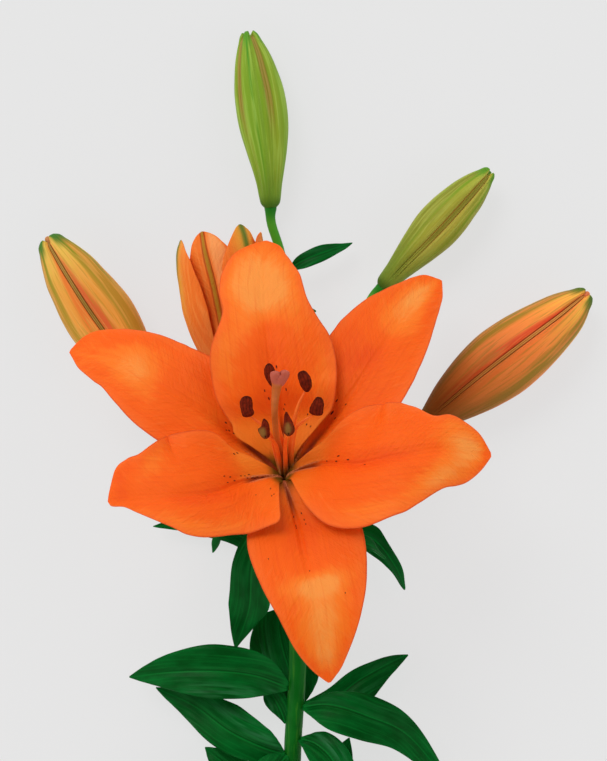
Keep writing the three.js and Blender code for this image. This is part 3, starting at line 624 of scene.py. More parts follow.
filamentFinish = {
    "first": (0.90, 0.125, 0.012), "second": (0.92, 0.175, 0.018), "foot": (0.26, 0.105, 0.010),
    "roughness": 0.45, "gloss": 0.2, "scale": 300.0, "bump": 0.2,
}
antherFinish = {
    "first": (0.100, 0.007, 0.002), "second": (0.210, 0.016, 0.003), "tip": (0.036, 0.004, 0.001),
    # the pit tone is near black: painted shade in the hollow where the filament meets the anther
    "patch": (0.250, 0.110, 0.024), "pit": (0.004, 0.002, 0.001),
    "roughness": 0.8, "gloss": 0.06, "scale": 800.0, "bump": 0.7,
}
styleFinish = {
    "first": (0.46, 0.115, 0.014), "second": (0.58, 0.140, 0.024), "foot": (0.60, 0.150, 0.020),
    "tip": (0.46, 0.082, 0.044), "patch": (0.36, 0.060, 0.034), "pit": (0.26, 0.030, 0.016),
    "roughness": 0.45, "gloss": 0.25, "scale": 250.0, "bump": 0.25,
}

petalSkin = petalMaterial(petalFinish)
leafSkin = leafMaterial(leafFinish)
stemSkin = stemMaterial(stemFinish)
filamentSkin = tissueMaterial("filamentSkin", filamentFinish)
antherSkin = tissueMaterial("antherSkin", antherFinish)
styleSkin = tissueMaterial("styleSkin", styleFinish)
print("materials made")


# Flowers

# Places from a petal's own frame into the lily's: turned about the flower's axis, which is then tilted towards
# the head of the stem and turned to its heading.
def flowerPlace(flower, turn=0.0):
    def rotateZ(angle):
        c, s = math.cos(math.radians(angle)), math.sin(math.radians(angle))
        return np.array([[c, -s, 0], [s, c, 0], [0, 0, 1]])

    c, s = math.cos(math.radians(flower["tilt"])), math.sin(math.radians(flower["tilt"]))
    matrix = rotateZ(flower["heading"]) @ np.array([[1, 0, 0], [0, c, s], [0, -s, c]]) @ rotateZ(turn)
    return lambda points: points @ matrix.T + np.array(flower["seat"])


bloom = {"seat": (-5.5, -50, 44), "tilt": 30, "heading": 5}
opening = {"seat": (-24, -26.5, 18), "tilt": 89.5, "heading": 8.3}

innerPetal = {
    "bend": [(0, 0.2), (0.14, 0.14), (0.2, 0.05), (0.36, 0.012), (0.6, -0.01), (1, -0.014)],
    "groove": [(0, 0), (0.15, 0.6), (0.3, 2.2), (0.6, 1.5), (1, 0.2)],
    "grooveWidth": 4,
    "thickness": [(0, 1), (0.2, 1.1), (0.6, 1), (1, 0.8)],
    "ridge": 0.7,  # mm, the two papillose ridges along the foot of an inner petal
    "furrowDepth": 0.5,
    "square": [(0, 0), (0.3, 0), (0.36, 0.08), (0.42, 0.3), (0.48, 0.6), (0.54, 0.85), (0.6, 0.97), (0.66, 1), (1, 1)],
    "slot": "petal",
}
outerSepal = {
    "bend": [(0, 0.16), (0.14, 0.12), (0.2, 0.06), (0.36, 0.02), (0.6, 0), (1, -0.006)],
    "groove": [(0, 0), (0.15, 0.8), (0.3, 1.8), (0.5, 0.8), (1, 0.2)],
    "grooveWidth": 4,
    "thickness": [(0, 1), (0.2, 1.1), (0.6, 1), (1, 0.8)],
    "ridge": 0.35,
    "furrowDepth": 0.7,
    "slot": "sepal",
}

# the patch list gives soft pale patches, partly the petal's own paler tone and partly painted highlights, as
# (u, v, length share, width share, amount), less than 0 for deep flames; spots are (u, v, length in mm); claw is
# the side of the golden foot; ridgeApart is how far the foot's ridges stand apart.
bloomPetals = {
    "bloom_petal_top": {
        "turn": 91,
        "midrib": [(4.4, 0, 0.2), (5, 1.2, 22), (22.5, -0.5, 31), (30.8, 1.4, 43),
                   (48.7, 2.1, 51), (73.9, 2.3, 52), (98.4, -1.1, 46)],
        "left": [(0, 3.2), (0.16, 3.2), (0.22, 6), (0.28, 13.5), (0.34, 18.5), (0.42, 22.6), (0.52, 25.9),
                 (0.62, 26.2), (0.67, 24.4), (0.72, 21.1), (0.77, 18.2), (0.82, 17), (0.87, 15.3), (0.91, 12.2),
                 (0.94, 9.6), (0.98, 6), (1, 0.8)],
        "right": [(0, 3.2), (0.16, 3.2), (0.2, 5.2), (0.24, 12), (0.28, 19.5), (0.34, 20.9), (0.42, 22.5),
                  (0.52, 24.5), (0.62, 24.6), (0.67, 23.1), (0.72, 19.5), (0.77, 16.8), (0.82, 17.8), (0.87, 17.6),
                  (0.91, 16.4), (0.95, 13.4), (0.98, 7.8), (1, 0.8)],
        "leftWave": [(0, 0), (0.4, 1), (0.6, -1.5), (0.75, 1), (1, 0)],
        "rightWave": [(0, 0), (0.4, 0), (0.55, -1), (0.68, 2), (0.8, -1), (1, 0)],
        "pale": [(0.82, 0.45, 0.11, 0.5, 0.9), (0.82, -0.45, 0.11, 0.5, 0.9), (0.79, 0, 0.07, 0.4, 0.5),
                 (0.93, 0, 0.08, 0.9, 0.5), (0.55, 0, 0.17, 0.32, -0.5), (0.62, 0.75, 0.1, 0.3, 0.45),
                 (0.5, -0.8, 0.12, 0.25, 0.35)],
        "claw": (1, 1),
        "ridgeApart": 0.5,
        "spots": [(0.568, -0.08, 1.2), (0.494, 0.17, 0.9), (0.454, 0.15, 1.4), (0.481, -0.17, 1.2),
                  (0.403, -0.1, 0.8), (0.375, -0.06, 1.1), (0.3, -0.63, 0.9), (0.286, -0.79, 0.8),
                  (0.349, -0.55, 0.8)],
        **innerPetal,
    },
    "bloom_petal_left": {
        "turn": 198,
        "midrib": [(4.4, 0, 0.2), (4.2, 2.7, 29), (18.9, 1.1, 34), (32.3, 5.4, 43),
                   (45.5, 5.3, 50), (59.7, -0.2, 50), (71.6, -8.4, 43)],
        "left": [(0, 3), (0.16, 2.6), (0.22, 5), (0.28, 10.3), (0.34, 15.1), (0.38, 21.6), (0.42, 25.9), (0.52, 30),
                 (0.62, 32.1), (0.67, 32.3), (0.72, 31), (0.77, 27.9), (0.82, 23.4), (0.87, 18.8), (0.93, 16.5),
                 (0.98, 12), (1, 2)],
        "right": [(0, 3), (0.16, 3.2), (0.2, 3.8), (0.22, 7.2), (0.24, 12.5), (0.26, 19), (0.28, 25), (0.3, 27),
                  (0.34, 26.2), (0.38, 24.6), (0.42, 23.2), (0.52, 20), (0.62, 19.3), (0.67, 17.4), (0.72, 13.2),
                  (0.82, 7.4), (0.91, 3.4), (0.98, 2.6), (1, 0.8)],
        "leftWave": [(0, 0), (0.35, 0), (0.5, 1), (0.64, -0.5), (0.8, 1.5), (1, 0)],
        "rightWave": [(0, 0), (0.3, 0.5), (0.5, -0.5), (0.7, 0.5), (1, 0)],
        "pale": [(0.55, 0.1, 0.2, 0.22, -0.6), (0.62, 0.85, 0.2, 0.25, 0.5), (0.8, -0.6, 0.08, 0.3, 0.4),
                 (0.93, -0.3, 0.05, 0.6, -0.5), (0.3, -0.74, 0.05, 0.3, 0.5)],
        "claw": (1, 0.35),
        "ridgeApart": 0.3,
        "spots": [(0.338, -0.79, 1), (0.315, -0.9, 0.9), (0.421, -0.17, 0.9), (0.393, -0.16, 0.9),
                  (0.419, -0.09, 0.8), (0.374, -0.08, 0.9), (0.248, 0.47, 0.8), (0.247, 0.67, 0.7),
                  (0.265, 0.57, 0.8), (0.341, -0.17, 0.8), (0.32, -0.19, 0.7), (0.297, -0.2, 0.8),
                  (0.309, -0.11, 0.7), (0.294, -0.08, 1.1), (0.279, -0.07, 1), (0.267, -0.09, 0.8),
                  (0.252, -0.05, 1), (0.264, 0.03, 0.7), (0.293, 0.03, 0.7), (0.315, 0.31, 0.5)],
        **innerPetal,
    },
    "bloom_petal_right": {
        "turn": 340,
        "midrib": [(4.4, 0, 0.2), (1.9, -3.3, 29), (14.1, 2.9, 34), (28.7, 1.7, 43),
                   (44.1, 5.4, 50), (61.6, 12.7, 50), (79, 19.2, 43)],
        "left": [(0, 3), (0.16, 2.8), (0.2, 3.1), (0.22, 4.6), (0.24, 7.5), (0.26, 11), (0.28, 14.4), (0.32, 19.2),
                 (0.36, 22.5), (0.42, 25.6), (0.47, 27.5), (0.57, 28.8), (0.67, 25.5), (0.72, 21.7), (0.77, 17.8),
                 (0.82, 15.1), (0.87, 14.1), (0.91, 12.3), (0.96, 7.4), (1, 0.8)],
        "right": [(0, 3), (0.16, 2.6), (0.22, 3.9), (0.28, 7.2), (0.32, 9.4), (0.36, 13.3), (0.42, 22.5),
                  (0.47, 27.6), (0.52, 30.4), (0.57, 30.2), (0.62, 27.3), (0.67, 26.9), (0.72, 27.5), (0.77, 23.6),
                  (0.82, 16.6), (0.87, 16), (0.91, 13.2), (0.96, 8.5), (1, 0.8)],
        "leftWave": [(0, 0), (0.35, 0), (0.5, -1.5), (0.65, 2), (0.8, -1), (1, 0)],
        "rightWave": [(0, 0), (0.4, 0), (0.55, -2), (0.64, 3), (0.75, -2), (0.9, 1), (1, 0)],
        "pale": [(0.91, 0.1, 0.08, 0.8, 1.1), (0.8, -0.75, 0.08, 0.35, 0.9), (0.6, -0.85, 0.12, 0.2, 0.5),
                 (0.55, 0, 0.22, 0.2, -0.6), (0.985, 0, 0.015, 0.9, -0.4)],
        "claw": (0.5, 1),
        "ridgeApart": 0.4,
        "spots": [(0.412, 0.14, 1.3), (0.409, 0.07, 1.1), (0.461, 0.09, 1.2), (0.536, -0.02, 0.8),
                  (0.36, 0.1, 0.7)],
        **innerPetal,
    },
    "bloom_sepal_left": {
        "turn": 144,
        "midrib": [(5.8, 0, 0.2), (5.6, 0, 22), (25.8, -2.6, 28), (41.6, -2.1, 36),
                   (60.7, -2.4, 40), (84, -4.8, 38), (105.6, -0.8, 31)],
        "left": [(0, 4.2), (0.16, 5), (0.22, 9), (0.3, 16), (0.42, 21), (0.52, 21.8), (0.67, 21), (0.72, 20.6),
                 (0.77, 19.2), (0.82, 16.8), (0.87, 14.8), (0.94, 12.3), (0.98, 8.1), (1, 1)],
        "right": [(0, 4.2), (0.16, 5), (0.22, 9), (0.3, 16), (0.42, 20), (0.52, 21), (0.62, 21), (0.72, 18.2),
                  (0.82, 14.3), (0.87, 12.8), (0.94, 8.3), (0.98, 3.4), (1, 0.8)],
        "leftWave": [(0, 0), (0.4, 0), (0.6, 1), (0.75, -1), (1, 0)],
        "rightWave": [(0, 0), (0.5, -1), (0.7, 1), (0.85, -1), (1, 0)],
        "pale": [(0.77, 0.05, 0.1, 0.55, 0.9), (0.6, -0.1, 0.09, 0.6, -0.2), (0.48, 0.1, 0.08, 0.5, 0.2),
                 (0.95, 0, 0.05, 0.8, 0.3)],
        "ridgeApart": 2.0,
        "spots": [(0.4, -0.1, 1.1), (0.371, -0.02, 0.9), (0.348, -0.04, 0.8), (0.376, 0.01, 0.8)],
        **outerSepal,
    },
    "bloom_sepal_right": {
        "turn": 40,
        "midrib": [(5.8, 0, 0.2), (5.6, 0, 22), (23.4, 2.5, 28), (39.5, 2.8, 36),
                   (62.2, 7.7, 40), (86.4, 13.8, 38), (106.1, 17.2, 31)],
        "left": [(0, 4.2), (0.16, 5), (0.22, 9), (0.3, 16), (0.42, 21), (0.52, 20.8), (0.62, 19.4), (0.72, 16.3),
                 (0.82, 12.1), (0.91, 8), (0.96, 4.4), (1, 0.8)],
        "right": [(0, 4.2), (0.16, 5), (0.22, 9), (0.3, 16), (0.42, 21), (0.55, 22.3), (0.67, 21.8), (0.72, 20.3),
                  (0.77, 17.6), (0.82, 14.1), (0.87, 11.1), (0.94, 8.6), (0.98, 6.2), (1, 0.8)],
        "leftWave": [(0, 0), (0.4, 0), (0.6, 1), (0.8, -1), (1, 0)],
        "rightWave": [(0, 0), (0.45, 1), (0.6, -1.5), (0.8, 1), (1, 0)],
        "pale": [(0.78, 0.05, 0.09, 0.5, 0.75), (0.9, 0.1, 0.08, 0.5, 0.95), (0.63, 0.2, 0.09, 0.5, -0.6)],
        "ridgeApart": 2.0,
        "spots": [(0.449, 0.14, 1.3), (0.401, 0.09, 1.8), (0.396, -0.03, 1), (0.466, -0.04, 0.9)],
        **outerSepal,
    },
    "bloom_sepal_bottom": {
        "turn": 275,
        "midrib": [(5.8, 0, 0.2), (5.7, -1.9, 29), (24.1, 0, 31), (43.5, 0.6, 35),
                   (62.4, 1.8, 35), (77.1, 1.4, 28), (88.3, 2, 16)],
        "left": [(0, 4.2), (0.16, 4), (0.22, 7), (0.28, 13), (0.34, 18.5), (0.42, 21.3), (0.52, 20.2), (0.62, 18.1),
                 (0.72, 14.9), (0.82, 11.3), (0.91, 7), (0.96, 3.9), (1, 0.6)],
        "right": [(0, 4.2), (0.16, 4), (0.22, 8), (0.28, 15), (0.34, 21), (0.42, 24.2), (0.52, 24), (0.62, 21.3),
                  (0.72, 17.1), (0.82, 12.9), (0.91, 8), (0.96, 4.5), (1, 0.6)],
        "leftWave": [(0, 0), (0.45, 0), (0.65, 1), (1, 0)],
        "rightWave": [(0, 0), (0.45, 1), (0.6, -1), (0.75, 1), (1, 0)],
        "pale": [(0.61, 0.05, 0.045, 0.55, 1.1), (0.74, 0.1, 0.13, 0.6, 0.95), (0.88, 0, 0.08, 0.6, 0.6),
                 (0.4, 0, 0.13, 0.4, -0.5)],
        "ridgeApart": 0.35,
        "spots": [(0.32, -0.03, 0.9), (0.354, -0.03, 1.1), (0.371, -0.04, 0.7), (0.315, 0.14, 0.9),
                  (0.352, 0.15, 0.8), (0.368, 0.15, 0.7), (0.484, -0.69, 0.6), (0.553, 0.02, 0.6),
                  (0.653, 0.6, 0.6)],
        **outerSepal,
    },
}
petalRelief = {
    "crinkle": 0.3,  # mm, soft puckers
    "ribs": 0.06,  # mm, lengthwise ribs
    "ribPitch": 1.9,  # mm from rib to rib
    "keel": 0.7,  # mm, the raised midrib of the back
    "frill": 0.5,  # mm, small waves of the margin
    "crease": 0.3,  # mm, the line along the midrib's inner face
    "ridgesPart": 1.3,  # mm by which the foot's two ridges part
}


# Relief and colour attributes of a petal or sepal of the open bloom, from its u, v and millimetres across and along.
def petalFormulas(seed, shape):
    r = petalRelief

    def paleAndHighlightPatches(u, v):
        return sum(amount * bump(u, pu, du) * bump(v, pv, dv) for pu, pv, du, dv, amount in shape["pale"])

    def formulas(u, v, s, l):
        frill = r["frill"] * np.abs(v) ** 7 * ripple(l, np.sign(v) * 40, 0.055, seed) * fade(u, 0.25, 0.45)
        both = r["crinkle"] * ripple(s * 0.7, l, 0.035, seed + 1) * fade(u, 0.25, 0.5) + frill
        # the foot's two ridges part from the midrib between u = 0.18 and 0.32
        apart = shape["ridgeApart"] + r["ridgesPart"] * fade(u, 0.18, 0.32)
        offset = apart + 0.15 * ripple(l, s * 0, 0.12, seed + 2)
        ribs = r["ribs"] * np.cos(2 * math.pi * s / r["ribPitch"] + 0.5 * np.sin(l / 9))
        ridges = shape["ridge"] * bump(np.abs(s), offset, 0.5) * fade(u, 0.05, 0.15) * (1 - fade(u, 0.27, 0.38))
        furrow = shape["furrowDepth"] * bump(s, 0, 0.4 + offset * 0.4) * fade(u, 0.17, 0.22) * (1 - fade(u, 0.3, 0.6))
        crease = r["crease"] * bump(s, 0, 0.8) * fade(u, 0.25, 0.35) * (1 - fade(u, 0.5, 0.9))
        inner = ribs * fade(u, 0.25, 0.4) * (1 - 0.6 * fade(u, 0.7, 1)) + ridges - furrow - crease
        outer = ribs + r["keel"] * bump(s, 0, 1.6) * (1 - fade(u, 0.6, 1.0)) * fade(u, 0.0, 0.1)
        crest = bump(np.abs(s), apart, 0.45) * fade(u, 0.15, 0.18)
        # pale patches: partly the petal's paler tone, partly painted highlights where it catches the light
        values = {"palenessAndHighlight": paleAndHighlightPatches(u, v), "backRib": 0.8 * bump(s, 0, 1.8) * (1 - fade(u, 0.75, 1.0))}
        if shape["slot"] == "petal":
            values["claw"] = (fade(u, 0.1, 0.16) * (1 - fade(u, 0.24, 0.46)) * (1 - 0.4 * bump(s, 0, 1.5))
                              * np.where(s < 0, *shape["claw"]))
            # painted shade in the throat: darkest at the foot, fading out by u = 0.3
            values["throatToneAndShade"] = (np.clip(1 - fade(u, 0.175, 0.255) + 0.15 * bump(s, 0, 2), 0, 1)
                                * (1 - fade(u, 0.2, 0.3)))
            # dark line in the furrow: partly its own colour, partly painted shade in the groove
            values["furrow"] = 0.85 * bump(s, 0, 0.45 + 0.5 * apart) * fade(u, 0.19, 0.23) * (1 - fade(u, 0.28, 0.36))
            values["crest"] = crest * (1 - fade(u, 0.28, 0.35))
        else:
            values["claw"] = 0.5 * fade(u, 0.16, 0.2) * (1 - fade(u, 0.26, 0.4))
            # painted shade in the throat, over its dark olive-brown
            values["throatToneAndShade"] = 1 - fade(u, 0.17, 0.27)
            # darker furrow and foot: partly their own colour, partly painted shade in the groove
            values["furrow"] = np.clip(0.7 * bump(s, 0, 1.1) * (1 - fade(u, 0.25, 0.37))
                                       + 0.3 * bump(s, 0, 4.0) * (1 - fade(u, 0.2, 0.38)), 0, 1)
            values["crest"] = 0.6 * crest * (1 - fade(u, 0.25, 0.33))
        return both, inner, outer, values

    return formulas


for order, (name, shape) in enumerate(bloomPetals.items()):
    makeBlade(name.replace("bloom", "open"), shape, (124, 73), flowerPlace(bloom, shape["turn"]),
              petalFormulas(10 * order, shape), name, shape["slot"], petalSkin, shape["spots"])
print("open bloom's petals made")

# Stamens and pistil

# Each filament's path and its anther's line from tip to foot, in the bloom's own frame; left and right are the
# anther's half widths from tip to foot, patch is where its pale back shows as (u, side, length, width).
stamens = {
    "top": {
        "thread": [(-0.7, 2.5, 1), (-0.3, 3.4, 20), (-0.3, 6, 36), (-2, 12.3, 48), (-2.5, 22.6, 55.5)],
        "anther": [(-3.3, 32, 59), (-3.2, 27.8, 58), (-2.6, 23.1, 56)],
        "left": [(0, 0.5), (0.1, 1.4), (0.35, 2.2), (0.6, 2), (0.85, 1.2), (1, 0.4)],
        "right": [(0, 0.5), (0.1, 1.4), (0.35, 2.2), (0.6, 2), (0.85, 1.2), (1, 0.4)],
    },
    "upper_right": {
        "thread": [(1.8, 1.8, 1), (2, 2.6, 20), (1.9, 2.9, 36), (4.1, 8.1, 48), (6.8, 14.4, 54), (10.3, 19.6, 57)],
        "anther": [(9.2, 26.5, 60), (10.5, 22.6, 59), (11, 18.7, 57)],
        "left": [(0, 1), (0.08, 1.8), (0.4, 2.4), (0.7, 2.2), (0.9, 1.4), (1, 0.5)],
        "right": [(0, 1), (0.08, 1.7), (0.4, 2.4), (0.7, 2.3), (0.9, 1.5), (1, 0.5)],
    },
    "lower_right": {
        "thread": [(2.5, -0.6, 1), (2.3, 0.3, 20), (2.4, 1.5, 36), (4.6, 6.6, 48), (7.6, 7.4, 53), (12.6, 8.8, 56)],
        "anther": [(15.5, 14.2, 60), (14.4, 11.1, 58.6), (13.4, 8.6, 56)],
        "left": [(0, 0.8), (0.1, 1.4), (0.3, 2), (0.5, 2.5), (0.85, 2.8), (0.95, 2.4), (1, 1.4)],
        "right": [(0, 0.8), (0.1, 1.6), (0.3, 2.3), (0.5, 2.5), (0.85, 2.7), (0.95, 2.2), (1, 1.3)],
    },
    "bottom": {
        "thread": [(0.7, -2.5, 1), (-0.4, -1.2, 20), (-0.1, 0.4, 36), (0.7, 1.3, 50), (2, -1, 59)],
        "anther": [(2.1, 6, 65), (2.4, 1, 63.6), (2.2, -2.5, 61)],
        "left": [(0, 0.3), (0.1, 0.9), (0.3, 1.4), (0.6, 1.9), (0.87, 1.7), (1, 0.6)],
        "right": [(0, 0.3), (0.2, 1.1), (0.5, 2.1), (0.7, 2.5), (0.9, 1.8), (1, 0.6)],
        "patch": (0.66, 0.1, 0.3, 0.75),
    },
    "lower_left": {
        "thread": [(-1.8, -1.8, 1), (-1.9, -0.4, 20), (-2.6, 1.3, 36), (-3.6, 2, 48), (-6.6, 0.6, 56.5)],
        "anther": [(-6.8, 5.6, 62), (-6.7, 2.2, 60.5), (-6.9, -1.2, 58)],
        "left": [(0, 0.3), (0.15, 0.9), (0.35, 1.4), (0.43, 1.8), (0.52, 2.8), (0.7, 2.5), (0.9, 1.6), (1, 0.6)],
        "right": [(0, 0.3), (0.15, 1.2), (0.4, 1.7), (0.7, 1.8), (0.9, 1.6), (1, 0.6)],
        "patch": (0.72, 0.55, 0.26, 0.8),
    },
    "upper_left": {
        "thread": [(-2.5, 0.7, 1), (-2.4, 1.8, 20), (-3.7, 3.7, 36), (-5.6, 7.2, 48), (-12.4, 10.8, 56)],
        "anther": [(-13.1, 18.3, 58), (-13.3, 13.7, 58), (-12.8, 10, 57)],
        "left": [(0, 1.2), (0.08, 2), (0.3, 2.7), (0.6, 2.4), (0.92, 2.3), (1, 1.4)],
        "right": [(0, 1.2), (0.08, 2), (0.3, 2.4), (0.6, 2.3), (0.92, 2.3), (1, 1.4)],
    },
}
filamentGirth = [(0, 1.05), (0.35, 1.0), (0.6, 0.85), (0.8, 0.65), (0.94, 0.42), (1, 0.2)]
towardsViewer = (0, -0.5, 0.866)  # straight up, in the bloom's own frame
antherRelief = {"flatness": 0.75, "furrow": 0.34, "lumps": 0.03, "pit": 0.45}  # shares of the half width


# An anther is two long pollen sacs side by side, flattened, with a furrow between them on both faces.
def antherBody(stamen):
    r = antherRelief

    def radiusAt(u, a):
        left, right = along(stamen["left"], u), along(stamen["right"], u)
        side, depth = np.where(np.sin(a) > 0, left, right), r["flatness"] * np.minimum(left, right)
        oval = 1 / np.sqrt((np.sin(a) / side) ** 2 + (np.cos(a) / depth) ** 2)
        furrow = bump(np.sin(a) * side / (side + 0.1), 0, 0.2)
        furrow = r["furrow"] * furrow * np.sin(np.clip(u, 0, 1) * math.pi) ** 0.5
        lumps = r["lumps"] * np.sin(a * 5 + u * 9) * np.sin(u * 21)
        pit = r["pit"] * bump(u, 0.9, 0.06) * bump(np.sin(a / 2), 0, 0.16) if "patch" in stamen else 0.0
        return oval * (1 - furrow * np.where(np.cos(a) < 0, 0.5, 0.35) + lumps - pit)

    return (stamen["anther"], radiusAt, 44, easedStations(44), towardsViewer)


def antherFacts(stamen):
    def facts(u, a):
        if "patch" not in stamen:
            edges = 0.6 * bump(u, 0, 0.2) + 0.5 * bump(np.abs(np.sin(a)), 1, 0.12)
            streaks = 0.6 * fade(np.sin(9 * a + 3 * u + np.sin(7 * u)), 0.3, 0.9)
            return {"tip": np.clip(edges + streaks, 0, 1)}
        at, side, length, width = stamen["patch"]
        front = fade(np.cos(a), 0.0, 0.3)
        return {
            "tip": 0.5 * bump(u, 0, 0.2) + 0.6 * bump(np.abs(np.sin(a)), 1, 0.1),
            "patch": bump(u, at, length) * bump(np.sin(a), side, width) * front * fade(u, 0.3, 0.5) * 1.1,
            # painted shade in the pit where the filament meets the anther
            "pit": bump(u, 0.89, 0.06) * bump(np.sin(a), 0, 0.3) * front,
        }

    return facts


bloomAxis = flowerPlace(bloom)
for key, stamen in stamens.items():
    thread = (stamen["thread"], lambda u, a: along(filamentGirth, u), 16, np.linspace(0, 1, 60), (1, 0, 0))
    makeRound(f"filament_{key}_thread", [thread], bloomAxis, f"filament_{key}", "filament", filamentSkin,
              lambda u, a: {"foot": 1 - fade(u, 0.22, 0.62)})
    makeRound(f"anther_{key}_sacs", [antherBody(stamen)], bloomAxis, f"anther_{key}", "anther", antherSkin,
              antherFacts(stamen))

# The stigma has two lobes that face the viewer: their ends lie right and up of its tip, as the viewer sees it.
pistilShape = {
    "points": [(0, 0, 1), (-0.2, 1, 14), (-1.1, 3.4, 30), (-2.7, 5.1, 48), (-2.3, 8.4, 64), (-1.1, 11.8, 72),
               (-0.2, 13.2, 76), (0.5, 15.6, 79)],
    "girth": [(0, 1.5), (0.05, 1.9), (0.16, 1.8), (0.2, 1.3), (0.5, 1.25), (0.6, 1.4), (0.72, 1.75), (0.82, 2.1),
              (0.88, 2.5), (0.93, 2.8), (0.965, 2.6), (0.99, 2), (1, 1.2)],
    "lobes": [(0, 0.07), (0.18, 0.07), (0.24, 0.02), (0.8, 0.03), (0.9, 0.12), (1, 0.2)],
    "stigmaTip": (0.3, 15, 78.2),
    "stigma": [
        {"ends": [(2.7, 2), (2.3, -0.6), (1.2, -4.2)],
         "radius": [(0, 0.3), (0.08, 1.3), (0.2, 1.85), (0.38, 1.9), (0.6, 1.5), (0.8, 0.95), (0.93, 0.5), (1, 0.1)]},
        {"ends": [(-0.6, 1.9), (-1.2, -0.5), (-1.9, -3.6)],
         "radius": [(0, 0.3), (0.08, 1.3), (0.2, 2), (0.38, 2.2), (0.6, 1.8), (0.8, 1.1), (0.93, 0.5), (1, 0.1)]},
    ],
}


def styleRadius(u, a):
    cleft = 0.10 * fade(u, 0.86, 0.95) * bump(np.sin(a / 2), 0, 0.10)
    return along(pistilShape["girth"], u) * (1 - along(pistilShape["lobes"], u) * np.cos(3 * a) - cleft)


# Each lobe's facts are shifted along u by 2 and 4, which tells the lobes from the style and from each other.
def stigmaLobe(lobe, shift):
    tip, lift = np.array(pistilShape["stigmaTip"]), 0.4 * np.array(towardsViewer)
    ends = [tuple(tip + np.array([right, 0, 0]) + up * np.array([0, 0.866, 0.5]) + lift) for right, up in lobe["ends"]]
    return (ends, lambda u, a: along(lobe["radius"], u), 28, easedStations(30), towardsViewer, shift)


def pistilFacts(u, a):
    cleft = fade(np.sin(a) * np.where(u > 3.5, -1, 1), 0.55, 0.95) * (u > 1.5)
    return {"tip": fade(u, 0.83, 0.9), "foot": 1 - fade(u, 0.35, 0.55), "patch": 0.6 * bump(u, 1.0, 0.03),
            "pit": 0.8 * cleft}


style = (pistilShape["points"], styleRadius, 60, np.append(np.linspace(0, 0.8, 60), np.linspace(0.81, 1, 40)),
         towardsViewer)
makeRound("style_and_stigma", [style] + [stigmaLobe(lobe, 2 + 2 * k) for k, lobe in enumerate(pistilShape["stigma"])],
          bloomAxis, "pistil", "pistil", styleSkin, pistilFacts)
print("stamens and pistil made")

# The half-open bloom

furledPetal = {
    "grooveWidth": 3,
    "bend": [(0, 0.2), (0.3, 0.12), (0.5, 0.066), (1, 0.058)],
    "thickness": [(0, 1), (0.5, 1.1), (1, 0.8)],
    "slot": "petal",
}
furledSepal = {**furledPetal, "bend": [(0, 0.17), (0.3, 0.11), (0.5, 0.064), (1, 0.055)], "slot": "sepal"}
hidden = [(0, 2.4), (0.2, 4.8), (0.5, 9), (0.68, 9.6), (0.8, 7.6), (0.92, 4), (1, 0.6)]
blunt = [(0, 2.8), (0.2, 5), (0.5, 9.8), (0.72, 11), (0.88, 9.6), (0.95, 7.6), (0.985, 4.4), (1, 1.5)]
